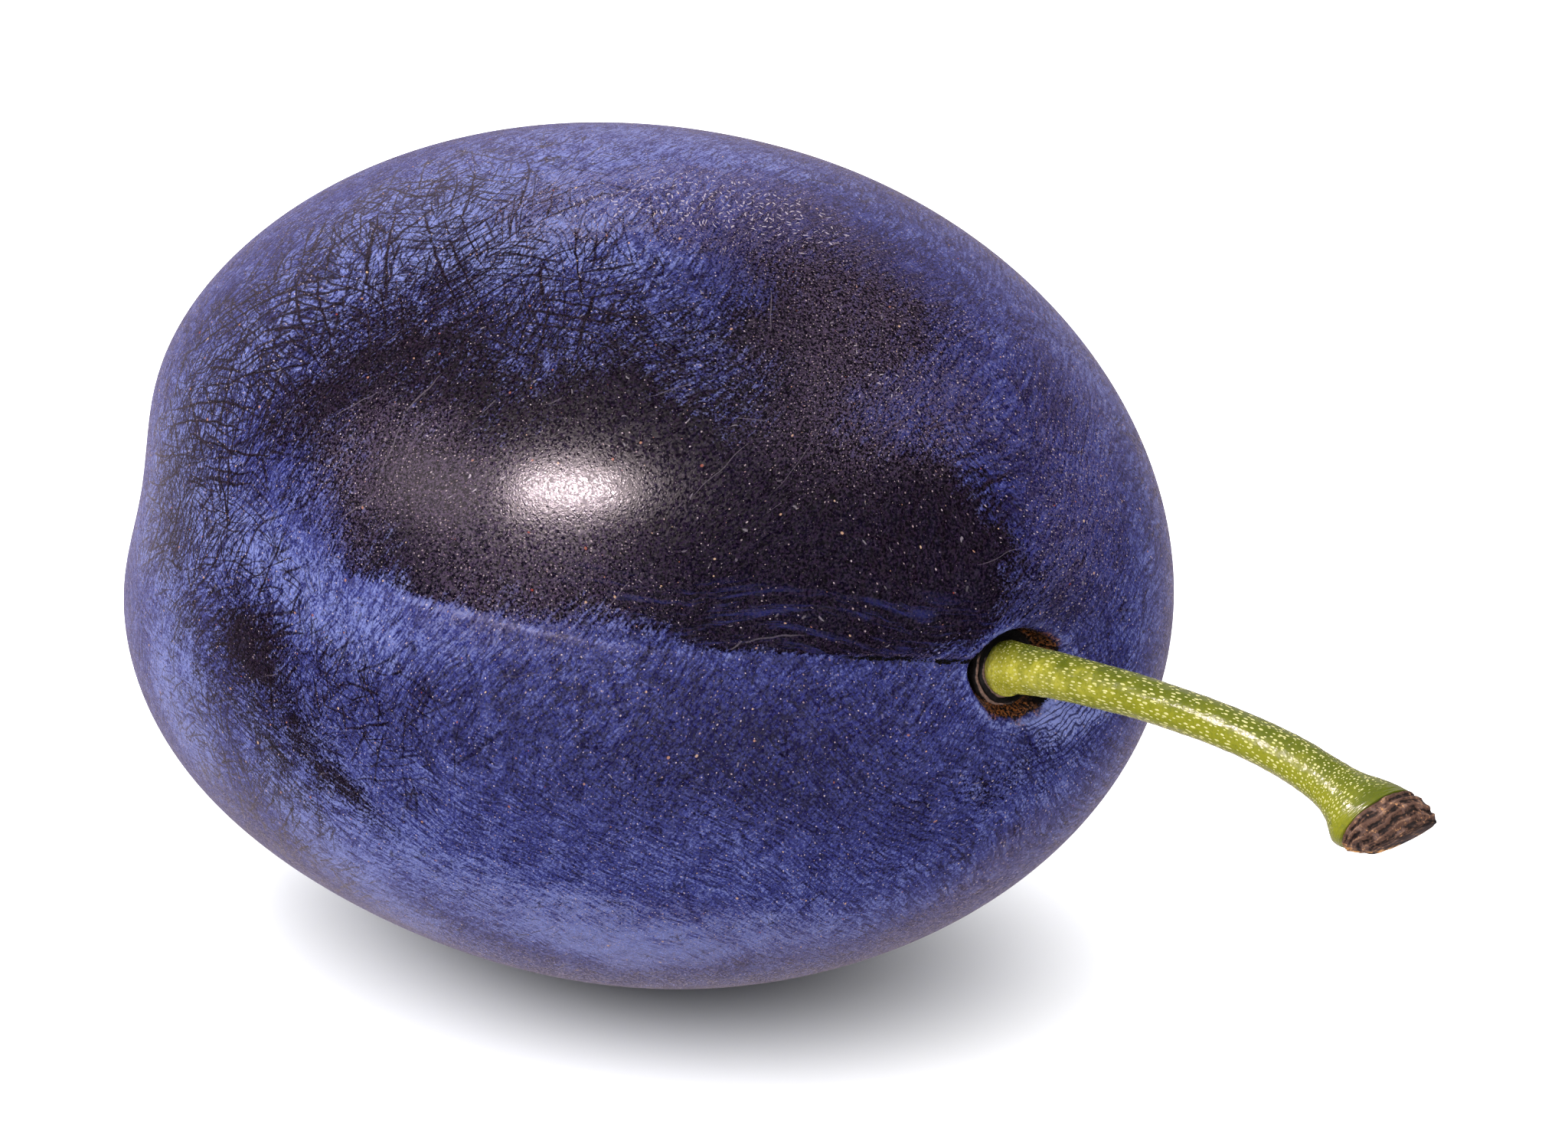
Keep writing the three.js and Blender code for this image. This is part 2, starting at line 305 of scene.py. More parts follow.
class PlumColours(bpy.types.PropertyGroup):
    """Colours of the skin, the stalk, the ring and the bark."""

    rubbed_skin: bpy.props.FloatVectorProperty(
        name="Rubbed skin",
        description="Bare skin where the bloom is rubbed off",
        subtype="COLOR",
        size=3,
        min=0.0,
        max=1.0,
        default=(0.0016, 0.0006, 0.002),
    )
    thin_bloom: bpy.props.FloatVectorProperty(
        name="Thin bloom",
        description="Skin under the thinnest bloom",
        subtype="COLOR",
        size=3,
        min=0.0,
        max=1.0,
        default=(0.0042, 0.0028, 0.037),
    )
    even_bloom: bpy.props.FloatVectorProperty(
        name="Even bloom",
        description="Skin under bloom of middling thickness",
        subtype="COLOR",
        size=3,
        min=0.0,
        max=1.0,
        default=(0.0185, 0.0225, 0.13),
    )
    full_bloom: bpy.props.FloatVectorProperty(
        name="Full bloom",
        description="Powdery bloom at its thickest",
        subtype="COLOR",
        size=3,
        min=0.0,
        max=1.0,
        default=(0.11, 0.13, 0.32),
    )
    residue: bpy.props.FloatVectorProperty(
        name="Residue",
        description="Grains of bloom left on the rubbed skin",
        subtype="COLOR",
        size=3,
        min=0.0,
        max=1.0,
        default=(0.013, 0.006, 0.014),
    )
    # Pink of the dusty haze, also used round the highlight as a painted highlight of glints.
    dust_and_glints: bpy.props.FloatVectorProperty(
        name="Dust",
        description="Pinkish dust lying on the skin",
        subtype="COLOR",
        size=3,
        min=0.0,
        max=1.0,
        default=(0.062, 0.041, 0.072),
    )
    stalk_root: bpy.props.FloatVectorProperty(
        name="Stalk root",
        description="Pale green of the stalk where it leaves the fruit",
        subtype="COLOR",
        size=3,
        min=0.0,
        max=1.0,
        default=(0.56, 0.5, 0.065),
    )
    stalk_end: bpy.props.FloatVectorProperty(
        name="Stalk end",
        description="Deeper green of the stalk's far end",
        subtype="COLOR",
        size=3,
        min=0.0,
        max=1.0,
        default=(0.165, 0.165, 0.008),
    )
    lenticel: bpy.props.FloatVectorProperty(
        name="Lenticels",
        description="Cream pores on the stalk",
        subtype="COLOR",
        size=3,
        min=0.0,
        max=1.0,
        default=(0.62, 0.57, 0.24),
    )
    bark: bpy.props.FloatVectorProperty(
        name="Bark",
        description="Brown bark of the heel",
        subtype="COLOR",
        size=3,
        min=0.0,
        max=1.0,
        default=(0.075, 0.034, 0.022),
    )


class StageSettings(bpy.types.PropertyGroup):
    """Camera, lights and floor."""

    camera_azimuth: bpy.props.FloatProperty(
        name="Camera azimuth",
        description="Turn of the camera round the plum, from its suture side",
        default=math.radians(50.3),
        subtype="ANGLE",
        unit="ROTATION",
    )
    camera_elevation: bpy.props.FloatProperty(
        name="Camera elevation",
        description="Height of the camera above the level",
        default=math.radians(19.35),
        subtype="ANGLE",
        unit="ROTATION",
    )
    camera_distance: bpy.props.FloatProperty(
        name="Camera distance",
        description="Middle of the fruit to the camera",
        default=0.35,
        min=0.1,
        unit="LENGTH",
    )
    lens: bpy.props.FloatProperty(
        name="Lens",
        description="Focal length of the camera",
        default=203.75,
        min=10.0,
        unit="CAMERA",
    )
    sky_light: bpy.props.FloatProperty(
        name="Room light",
        description="Brightness of the white room all round",
        default=2.6,
        min=0.0,
    )
    key_power: bpy.props.FloatProperty(
        name="Key light power",
        description="Power of the softbox that makes the highlight, in watts",
        default=2.4,
        min=0.0,
    )
    fill_power: bpy.props.FloatProperty(
        name="Fill light power",
        description="Power of the broad soft light, in watts",
        default=1.7,
        min=0.0,
    )


# ---------------------------------------------------------------- meshes


def fade(value, low, high):
    """Rises smoothly from 0 at low to 1 at high."""
    share = np.clip((value - low) / (high - low), 0.0, 1.0)
    return share * share * (3.0 - 2.0 * share)


def hill(value, middle, width, power=2):
    """A smooth hill of height 1 round the middle."""
    return np.exp(-(((value - middle) / width) ** power))


def paint(mesh, name, values):
    """Keeps one number per vertex under that name, for the materials to read."""
    layer = mesh.attributes.new(name, "FLOAT", "POINT")
    layer.data.foreach_set("value", np.asarray(values, dtype=np.float32))


def ripple(places, scale, seed):
    """Soft noise at each place, from about -1 to 1."""
    shift = Vector((seed * 7.3, seed * 3.1, seed * 5.7))
    return np.array([noise.fractal(Vector(p) * scale + shift, 1.0, 2.0, 3) for p in places])


def drift(places, scale, seed):
    """A soft random vector at each place."""
    noise.seed_set(seed)
    shift = Vector((seed * 2.9, seed * 8.3, seed * 4.1))
    return np.array([noise.noise_vector(Vector(p) * scale + shift) for p in places])


def bmesh_places(bm):
    """Places of the bmesh's vertices, one row each."""
    return np.array([vertex.co for vertex in bm.verts], dtype=float)


def finish_piece(context, name, bm, places, node):
    """Turns a bmesh, its vertices at places in millimetres, into a piece for a solid."""
    for vertex, at in zip(bm.verts, places * MM):
        vertex.co = at
    bmesh.ops.recalc_face_normals(bm, faces=bm.faces)
    mesh = bpy.data.meshes.new(name)
    bm.to_mesh(mesh)
    bm.free()
    mesh.shade_smooth()
    piece = bpy.data.objects.new(name, mesh)
    context.scene.collection.objects.link(piece)
    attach(piece, "root")
    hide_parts(node)
    return piece


def laid_down(points):
    """Lays the upright fruit's points down as it rests."""
    x, y, z = points.T
    c, s = math.cos(-SUTURE_RAISED), math.sin(-SUTURE_RAISED)
    y, z = y * c - z * s, y * s + z * c
    c, s = math.cos(STEM_END_RAISED), math.sin(STEM_END_RAISED)
    x, z = x * c - z * s, x * s + z * c
    return np.stack([x, y, z], axis=1) + FRUIT_MIDDLE


def skin_points(polar, turn, sizes):
    """Points of the skin before it is laid down, in millimetres, for arrays of angles."""
    cosine, sine = np.cos(polar), np.sin(polar)
    power = 2.0 + TIP_SQUARENESS * 0.5 * (1.0 - cosine)
    reach = (np.abs(cosine) ** power + np.abs(sine) ** power) ** (-1.0 / power)
    end = np.where(cosine > 0, sizes["stem_end"], sizes["tip_end"])
    x = cosine * reach * end
    swayed = turn + SUTURE_SWAY * sine**2
    side = np.where(np.cos(swayed) > 0, sizes["suture_side"], sizes["back_side"])
    suture = sine * reach * np.cos(swayed) * side
    cheek = sine * reach * np.sin(swayed) * sizes["cheek_side"]
    cheek *= 1.0 + UPPER_CHEEK_FULLNESS * np.sin(swayed)
    near_stem = hill(polar, 0.0, LEAN_REACH)
    near_tip = hill(polar, math.pi, LEAN_REACH)
    suture += STEM_LEAN[0] * near_stem + TIP_LEAN[0] * near_tip
    cheek += STEM_LEAN[1] * near_stem + TIP_LEAN[1] * near_tip
    lobe = (
        math.cos(LOBE_POLAR),
        math.sin(LOBE_POLAR) * math.cos(LOBE_TURN),
        math.sin(LOBE_POLAR) * math.sin(LOBE_TURN),
    )
    away = (cosine - lobe[0]) ** 2
    away += (sine * np.cos(turn) - lobe[1]) ** 2 + (sine * np.sin(turn) - lobe[2]) ** 2
    swell = LOBE_HEIGHT * np.exp(-away / LOBE_WIDTH**2)
    x += swell * lobe[0]
    suture += swell * lobe[1]
    cheek += swell * lobe[2]
    valley = VALLEY_AT_WAIST + (VALLEY_AT_TIP - VALLEY_AT_WAIST) * fade(polar, 1.5, 2.7)
    valley += (VALLEY_AT_STEM - VALLEY_AT_WAIST) * (1.0 - fade(polar, 0.3, 1.2))
    ends = fade(math.pi - polar, 0.02, 0.35) * fade(polar, 0.02, 0.3)
    crease = CREASE_DEPTH * np.exp(-polar / CREASE_REACH)
    across = turn * sizes["suture_side"] * sine - CREASE_RISE * (1.0 - fade(polar, 0.3, 0.9))
    crease *= hill(across, 0.0, CREASE_HALF_WIDTH)
    depth = ends * (valley * (1.0 + (turn / VALLEY_WIDTH) ** 2) ** -2 + crease)
    shrink = 1.0 - depth / np.sqrt(x * x + suture * suture + cheek * cheek)
    out = sine * reach * sizes["suture_side"]
    hollow = np.where(cosine > 0, CAVITY_DEPTH * hill(out, 0.0, CAVITY_RADIUS), 0.0)
    return np.stack([x * shrink - hollow, -suture * shrink, cheek * shrink], axis=1)


def around_pit(offset, polar):
    """How far out each point lies, the pit's edge being 1, and its bearing from the far side."""
    reach = np.where(offset[:, 1] > 0, PIT_BEYOND, PIT_ACROSS)
    drop = np.where(offset[:, 2] > 0, PIT_UP, PIT_DOWN)
    pit = np.sqrt((offset[:, 1] / reach) ** 2 + (offset[:, 2] / drop) ** 2)
    bearing = np.arctan2(offset[:, 2], offset[:, 1])
    return np.where(polar < 0.6, pit, 9.0), bearing


def patches(places, entries):
    """Sum of soft-edged patches at each place."""
    total = np.zeros(len(places))
    for middle, length, breadth, turn, amount in entries:
        outward = Vector(middle) - Vector(FRUIT_MIDDLE)
        outward.normalize()
        level = MAP_ACROSS - MAP_ACROSS.dot(outward) * outward
        level.normalize()
        rise = outward.cross(level)
        angle = math.radians(turn)
        along = level * math.cos(angle) + rise * math.sin(angle)
        over = rise * math.cos(angle) - level * math.sin(angle)
        offset = places - np.array(middle)
        far = (offset @ np.array(along) / length) ** 2
        far += (offset @ np.array(over) / breadth) ** 2
        far += (offset @ np.array(outward) / PATCH_DEPTH) ** 2
        total += amount * (1.0 - fade(np.sqrt(far), 0.35, 1.35))
    return total


def map_skin(mesh, places):
    """Gives the skin two round flat maps, one for each half, that meet out of sight."""
    up = np.array(MAP_MIDDLE.cross(MAP_ACROSS))
    offset = places - FRUIT_MIDDLE
    offset /= np.linalg.norm(offset, axis=1)[:, None]
    front = offset @ np.array(MAP_MIDDLE)
    across = offset @ np.array(MAP_ACROSS)
    rise = offset @ up
    layer = mesh.uv_layers.new(name="skin_map")
    corners = np.empty(len(mesh.loops), dtype=np.int32)
    mesh.loops.foreach_get("vertex_index", corners)
    starts = np.array([p.loop_start for p in mesh.polygons])
    counts = np.array([p.loop_total for p in mesh.polygons])
    facing = np.add.reduceat(front[corners], starts) / counts
    is_front = np.repeat(facing > 0, counts)
    sign = np.where(is_front, 1.0, -1.0)
    spread = np.sqrt(2.0 / np.maximum(1.0 + sign * front[corners], 0.2))
    curl = drift(places, 0.13, 12) * MAP_CURL
    across_mm = across[corners] * spread * MAP_RADIUS + curl[corners, 0]
    rise_mm = rise[corners] * spread * MAP_RADIUS + curl[corners, 1]
    u = np.where(is_front, 0.25, 0.75) + across_mm / MAP_SIZE
    v = 0.5 + rise_mm / MAP_SIZE
    layer.data.foreach_set("uv", np.stack([u, v], axis=1).astype(np.float32).ravel())


# ---------------------------------------------------------------- nodes


class Net:
    """Adds nodes to a node tree and joins them."""

    def __init__(self, tree):
        self.tree = tree

    def feed(self, socket, value):
        """Links a socket to another, or sets its value."""
        if isinstance(value, bpy.types.NodeSocket):
            self.tree.links.new(value, socket)
        else:
            socket.default_value = value

    def node(self, kind, inputs=None, **settings):
        """Adds a shader node with those settings and inputs."""
        made = self.tree.nodes.new("ShaderNode" + kind)
        for name, value in settings.items():
            setattr(made, name, value)
        for key, value in (inputs or {}).items():
            self.feed(made.inputs[key], value)
        return made

    def math(self, operation, *values, clamp=False):
        """One sum on numbers."""
        made = self.node("Math", operation=operation, use_clamp=clamp)
        for socket, value in zip(made.inputs, values):
            self.feed(socket, value)
        return made.outputs[0]

    def vector(self, operation, *values, scale=None):
        """One sum on vectors."""
        made = self.node("VectorMath", operation=operation)
        for socket, value in zip(made.inputs, values):
            self.feed(socket, value)
        if scale is not None:
            self.feed(made.inputs["Scale"], scale)
        return made.outputs["Value" if operation == "DOT_PRODUCT" else "Vector"]

    def span(self, value, low, high, start=0.0, end=1.0, smooth=True):
        """Maps low..high to start..end, clamped."""
        made = self.node("MapRange", interpolation_type="SMOOTHSTEP" if smooth else "LINEAR")
        for key, item in zip(range(5), (value, low, high, start, end)):
            self.feed(made.inputs[key], item)
        return made.outputs["Result"]

    def mix(self, share, first, second):
        """Mixes two colours."""
        made = self.node("Mix", data_type="RGBA", clamp_factor=True)
        for key, item in ((0, share), (6, first), (7, second)):
            if key and not isinstance(item, bpy.types.NodeSocket):
                item = (*item, 1.0)
            self.feed(made.inputs[key], item)
        return made.outputs[2]

    def nudge(self, base, value, amount, middle=0.5):
        """Adds to base how far the value lies from its middle, times the amount."""
        away = self.math("SUBTRACT", value, middle)
        return self.math("MULTIPLY_ADD", away, amount, base)

    def channels(self, colour):
        """The three numbers of a colour."""
        return self.node("SeparateColor", {"Color": colour}).outputs

    def cells(self, place, scale, randomness=1.0):
        """Flat cells of random shape, and three numbers drawn for each."""
        inputs = {"Vector": place, "Scale": scale, "Randomness": randomness}
        made = self.node("TexVoronoi", inputs, voronoi_dimensions="2D", feature="F1").outputs
        return made, self.channels(made["Color"])

    def turned(self, place, angle):
        """The flat place turned by an angle."""
        inputs = {"Vector": place, "Angle": angle}
        return self.node("VectorRotate", inputs, rotation_type="Z_AXIS").outputs[0]

    def noise(self, place, scale, detail=2.0, roughness=0.5, output="Fac", **settings):
        """Smooth noise, its values near one half."""
        inputs = {"Vector": place, "Scale": scale, "Detail": detail, "Roughness": roughness}
        return self.node("TexNoise", inputs, **settings).outputs[output]

    def group(self, tree, **inputs):
        """Places a node group."""
        made = self.node("Group", node_tree=tree)
        for name, value in inputs.items():
            self.feed(made.inputs[name.capitalize()], value)
        return made.outputs

    def attribute(self, name):
        """A number kept on the piece's vertices."""
        return self.node("Attribute", attribute_name=name).outputs["Fac"]


def node_group(name, inputs, outputs, fill):
    """A shader node group, made once: fill(net, sockets) returns its outputs by name."""
    found = bpy.data.node_groups.get(name)
    if found is not None:
        return found
    tree = bpy.data.node_groups.new(name, "ShaderNodeTree")
    for label, value in inputs.items():
        kind = "NodeSocketVector" if isinstance(value, tuple) else "NodeSocketFloat"
        socket = tree.interface.new_socket(label, in_out="INPUT", socket_type=kind)
        socket.default_value = value
    for label, kind in outputs.items():
        tree.interface.new_socket(label, in_out="OUTPUT", socket_type="NodeSocket" + kind)
    net = Net(tree)
    entry = tree.nodes.new("NodeGroupInput")
    leave = tree.nodes.new("NodeGroupOutput")
    for label, value in fill(net, entry.outputs).items():
        net.feed(leave.inputs[label], value)
    return tree


def scratch_group():
    """Fine lines of random direction, one bundle to a cell of the flat map."""

    def fill(net, given):
        place = given["Vector"]
        scale = net.math("DIVIDE", 1.0, given["Cell"])
        cells, chance = net.cells(place, scale)
        from_middle = net.vector("SUBTRACT", place, cells["Position"])
        swing = net.math("SUBTRACT", chance[0], 0.5)
        swing = net.math("MULTIPLY_ADD", swing, given["Spread"], given["Lean"])
        turned = net.turned(from_middle, swing)
        axes = net.node("SeparateXYZ", {"Vector": turned}).outputs
        bend = net.math("SUBTRACT", chance[2], 0.5)
        bend = net.math("MULTIPLY", bend, given["Bend"])
        squared = net.math("MULTIPLY", axes[0], axes[0])
        over = net.math("MULTIPLY_ADD", squared, bend, axes[1])
        half = net.math("MULTIPLY", given["Spacing"], 0.5)
        lane = net.math("ROUND", net.math("DIVIDE", over, given["Spacing"]))
        over = net.math("WRAP", over, half, net.math("MULTIPLY", half, -1.0))
        seed = net.math("MULTIPLY_ADD", chance[1], 91.7, net.math("MULTIPLY", lane, 7.31))
        luck = net.node("TexWhiteNoise", {"W": seed}, noise_dimensions="1D")
        draws = net.channels(luck.outputs["Color"])
        shift = net.math("SUBTRACT", draws[0], 0.5)
        shift = net.math("MULTIPLY", shift, given["Cell"])
        along = net.math("ABSOLUTE", net.math("ADD", axes[0], shift))
        width = net.math("MULTIPLY_ADD", draws[1], 0.9, 0.45)
        width = net.math("MULTIPLY", width, given["Width"])
        reach = net.math("MULTIPLY", given["Length"], 0.5)
        taper = net.span(along, net.math("MULTIPLY", reach, 0.4), reach, 1.0, 0.0)
        width = net.math("MULTIPLY", width, taper)
        near = net.math("DIVIDE", net.math("ABSOLUTE", over), net.math("ADD", width, 0.001))
        line = net.span(near, 0.35, 1.35, 1.0, 0.0)
        there = net.math("SUBTRACT", given["Amount"], draws[2])
        there = net.span(there, -0.04, 0.04)
        return {"Mask": net.math("MULTIPLY", line, there)}

    inputs = {
        "Vector": (0.0, 0.0, 0.0),
        "Cell": 2.0,
        "Length": 3.0,
        "Width": 0.04,
        "Spacing": 0.5,
        "Bend": 0.1,
        "Lean": 0.0,
        "Spread": 6.283,
        "Amount": 0.5,
    }
    return node_group("Fine scratches", inputs, {"Mask": "Float"}, fill)


def fibre_group():
    """Hair-fine lines lying side by side along a lean, each fading in and out."""

    def fill(net, given):
        turned = net.turned(given["Vector"], given["Lean"])
        axes = net.node("SeparateXYZ", {"Vector": turned}).outputs
        along = net.math("MULTIPLY", axes[0], given["Along"])
        across = net.math("MULTIPLY", axes[1], given["Across"])
        drawn = net.node("CombineXYZ", {"X": along, "Y": across}).outputs[0]
        wave = net.noise(drawn, 1.0, 1.0, 0.5, noise_dimensions="2D")
        near = net.math("ABSOLUTE", net.math("SUBTRACT", wave, 0.5))
        line = net.span(near, 0.0, given["Width"], 1.0, 0.0)
        strong = net.noise(turned, 0.9, 1.0, 0.6, noise_dimensions="2D")
        return {"Mask": net.math("MULTIPLY", line, net.span(strong, 0.35, 0.6))}

    inputs = {
        "Vector": (0.0, 0.0, 0.0),
        "Lean": 0.0,
        "Along": 0.5,
        "Across": 3.0,
        "Width": 0.05,
    }
    return node_group("Fibres", inputs, {"Mask": "Float"}, fill)


def speck_group():
    """Round specks of random size and shade, at most one to a cell."""

    def fill(net, given):
        scale = net.math("DIVIDE", 1.0, given["Cell"])
        cells, chance = net.cells(given["Vector"], scale)
        distance = net.math("MULTIPLY", cells["Distance"], given["Cell"])
        size = net.math("POWER", chance[0], 3.0)
        size = net.math("MULTIPLY_ADD", size, 0.75, 0.25)
        size = net.math("MULTIPLY", size, given["Size"])
        near = net.math("DIVIDE", distance, size)
        round_mask = net.span(near, 0.6, 1.1, 1.0, 0.0)
        there = net.span(net.math("SUBTRACT", given["Amount"], chance[1]), -0.02, 0.02)
        return {"Mask": net.math("MULTIPLY", round_mask, there), "Shade": chance[2]}

    inputs = {"Vector": (0.0, 0.0, 0.0), "Cell": 0.5, "Size": 0.05, "Amount": 0.3}
    return node_group("Specks", inputs, {"Mask": "Float", "Shade": "Float"}, fill)


def new_material(name, tint):
    """An empty procedural material: returns it, its net and its shader."""
    material = bpy.data.materials.new(name)
    material.use_nodes = True
    material.diffuse_color = (*tint, 1.0)
    material.node_tree.nodes.clear()
    net = Net(material.node_tree)
    shader = net.node("BsdfPrincipled")
    output = net.node("OutputMaterial")
    net.feed(output.inputs["Surface"], shader.outputs["BSDF"])
    return material, net, shader


def millimetres(net):
    """Object coordinates in millimetres."""
    place = net.node("TexCoord").outputs["Object"]
    return net.vector("SCALE", place, scale=1000.0)


SCRATCH_LAYERS = (
    # cell, length, width, spacing, bend, lean, spread, lowest and highest amount, strength
    (6.0, 8.0, 0.076, 0.9, 0.03, -0.9, 2.4, 0.0, 0.8, 1.0),
    (4.4, 6.0, 0.068, 0.62, 0.05, -0.7, 2.4, 0.0, 0.9, 0.95),
    (3.2, 4.4, 0.062, 0.46, 0.08, -1.0, 3.4, 0.0, 0.95, 0.93),
    (2.3, 3.2, 0.052, 0.38, 0.14, 0.5, 6.283, 0.0, 0.9, 0.86),
    (1.6, 2.3, 0.047, 0.29, 0.25, -0.9, 3.0, 0.0, 0.9, 0.78),
    (1.1, 1.6, 0.043, 0.24, 0.4, 0.7, 6.283, 0.0, 0.9, 0.7),
    (0.75, 1.0, 0.038, 0.19, 0.6, -0.8, 3.4, 0.04, 0.9, 0.62),
)
FIBRE_LAYERS = (
    # lean, along, across, width, strength on the upper and on the lower half
    (-0.85, 0.32, 2.2, 0.055, 0.8, 0.1),
    (-1.25, 0.45, 2.9, 0.06, 0.75, 0.2),
    (-0.5, 0.5, 3.6, 0.07, 0.6, 0.2),
    (0.8, 0.5, 3.3, 0.06, 0.5, 0.55),
    (0.5, 0.45, 3.9, 0.08, 0.1, 0.75),
    (-0.9, 0.8, 5.2, 0.09, 0.55, 0.45),
)


def skin_flat_place(net, place):
    """Place on the skin's flat map in millimetres, slightly wavering."""
    flat = net.node("UVMap", uv_map="skin_map").outputs["UV"]
    flat = net.vector("SCALE", flat, scale=MAP_SIZE)
    wobble = net.noise(place, 1.4, 0.0, output="Color")
    wobble = net.vector("SUBTRACT", wobble, (0.5, 0.5, 0.5))
    return net.vector("ADD", flat, net.vector("SCALE", wobble, scale=0.2))


def streaks(net, flat, lean, length, breadth):
    """Soft streaks along a lean."""
    inputs = {"Vector": flat, "Rotation": (0.0, 0.0, lean), "Scale": (length, breadth, 1.0)}
    drawn = net.node("Mapping", inputs, vector_type="TEXTURE").outputs[0]
    return net.noise(drawn, 1.0, 2.0, 0.6, noise_dimensions="2D")


def brushing(net, flat, low):
    """Streaks that lean one way on the upper half and the other way on the lower."""
    upper_share = net.math("MULTIPLY_ADD", low, -1.3, 1.6)
    lower_share = net.math("MULTIPLY_ADD", low, 1.3, 0.4)
    brushed = net.math("MULTIPLY", streaks(net, flat, 0.85, 1.3, 0.15), upper_share)
    return net.math("MULTIPLY_ADD", streaks(net, flat, -0.6, 1.2, 0.12), lower_share, brushed)


def scratch_away(net, flat, scored, kept):
    """What the scratches leave of the bloom that was kept."""
    scratches = scratch_group()
    depth = net.span(scored, 0.1, 0.55, 0.4, 1.0, smooth=False)
    for number, layer in enumerate(SCRATCH_LAYERS):
        cell, length, width, spacing, bend, lean, spread, least, most, strength = layer
        mask = net.group(
            scratches,
            vector=net.vector("ADD", flat, (13.7 * number, 5.9 * number, 0.0)),
            cell=cell,
            length=length,
            width=width,
            spacing=spacing,
            bend=bend,
            lean=lean,
            spread=spread,
            amount=net.span(scored, 0.08, 0.78, least, most, smooth=False),
        )["Mask"]
        share = net.math("MULTIPLY_ADD", net.math("MULTIPLY", mask, depth), -strength, 1.0)
        kept = net.math("MULTIPLY", kept, share)
    return kept


def combing(net, flat, low):
    """How far hair-fine fibres bare the skin."""
    fibres = fibre_group()
    swirl = net.noise(flat, 0.22, 1.0, 0.5, output="Color", noise_dimensions="2D")
    swirl = net.vector("SCALE", net.vector("SUBTRACT", swirl, (0.5, 0.5, 0.5)), scale=1.6)
    swirled = net.vector("ADD", flat, swirl)
    covered = 1.0
    for number, (lean, along, across, width, above, below) in enumerate(FIBRE_LAYERS):
        moved = net.vector("ADD", swirled, (9.1 * number, 17.3 * number, 0.0))
        mask = net.group(
            fibres, vector=moved, lean=lean, along=along, across=across, width=width
        )["Mask"]
        strength = net.math("MULTIPLY_ADD", low, above - below, -above)
        covered = net.math("MULTIPLY", covered, net.math("MULTIPLY_ADD", mask, strength, 1.0))
    return net.math("SUBTRACT", 1.0, covered)


def rubbed_colour(net, flat, grain, colours):
    """Bare dark skin with grains of bloom left on it, smeared beside the suture."""
    left = net.mix(net.math("POWER", grain, 2.0), colours.rubbed_skin, colours.residue)
    smear = net.node("Mapping", {"Vector": flat, "Scale": (0.3, 2.6, 1.0)}).outputs[0]
    smear = net.noise(smear, 1.0, 4.0, 0.7, noise_dimensions="2D")
    smear = net.math("MULTIPLY", net.span(smear, 0.48, 0.72, 0.0, 0.4), net.attribute("smeared"))
    return net.mix(smear, left, colours.even_bloom)


def add_motes(net, flat, wear, dust_and_glints, colour):
    """Adds dusty crumbs, motes, rare specks and pale nicks to the skin's colour; round the
    highlight the fine specks are painted glints.
    """
    scratches, specks = scratch_group(), speck_group()
    crumbs = net.group(
        scratches,
        vector=flat,
        cell=0.34,
        length=0.26,
        width=0.034,
        spacing=0.4,
        bend=9.0,
        amount=net.span(dust_and_glints, 0.66, 1.1, 0.0, 0.9, smooth=False),
    )["Mask"]
    amount = net.span(wear, 0.3, 1.0, 0.52, 0.16, smooth=False)
    motes = net.group(specks, vector=flat, cell=0.26, size=0.04, amount=amount)
    # Fine pale specks follow the dusty places; round the highlight they are painted glints.
    amount = net.span(dust_and_glints, 0.05, 0.5, 0.08, 0.85, smooth=False)
    fine = net.group(specks, vector=flat, cell=0.17, size=0.04, amount=amount)
    rare = net.group(specks, vector=flat, cell=1.1, size=0.075, amount=0.4)
    shade = net.mix(motes["Shade"], *MOTE_SHADES)
    colour = net.mix(net.math("MULTIPLY", motes["Mask"], 0.75), colour, shade)
    shade = net.mix(fine["Shade"], *FINE_MOTE_SHADES)
    colour = net.mix(net.math("MULTIPLY", fine["Mask"], 0.7), colour, shade)
    colour = net.mix(net.math("MULTIPLY", crumbs, 0.75), colour, CRUMB_TINT)
    shade = net.mix(rare["Shade"], *SPECK_SHADES)
    colour = net.mix(net.math("MULTIPLY", rare["Mask"], 0.85), colour, shade)
    nicks = net.group(
        scratches,
        vector=flat,
        cell=3.4,
        length=3.2,
        width=0.03,
        spacing=0.8,
        lean=-0.7,
        spread=1.6,
        amount=net.span(wear, 0.7, 1.3, 0.0, 0.14),
    )["Mask"]
    return net.mix(net.math("MULTIPLY", nicks, 0.4), colour, NICK_TINT)


def add_pit_marks(net, place, grain, colours, colour):
    """Adds the folds round the pit, painted shadow inside it and along the crack, and its russet
    edge.
    """
    sway = net.noise(place, 1.1, 2.0, 0.5)
    folds = net.math("MULTIPLY_ADD", sway, 3.5, net.math("MULTIPLY", net.attribute("pit"), 8.0))
    folds = net.math("SINE", net.math("MULTIPLY", folds, 2.0 * math.pi))
    folds = net.math("MULTIPLY", net.span(folds, 0.25, 0.9), net.attribute("fold"))
    colour = net.mix(net.math("MULTIPLY", folds, 0.85), colour, colours.thin_bloom)
    # Painted shadow: the pit's inside and the crack go near black.
    pit_shadow = net.nudge(net.attribute("hollow"), grain, 0.9)
    colour = net.mix(net.span(pit_shadow, 0.4, 0.7), colour, PIT_SHADOW_TINT)
    russet = net.mix(net.span(grain, 0.3, 1.0), *RUSSET_SHADES)
    return net.mix(net.attribute("russet"), colour, russet)


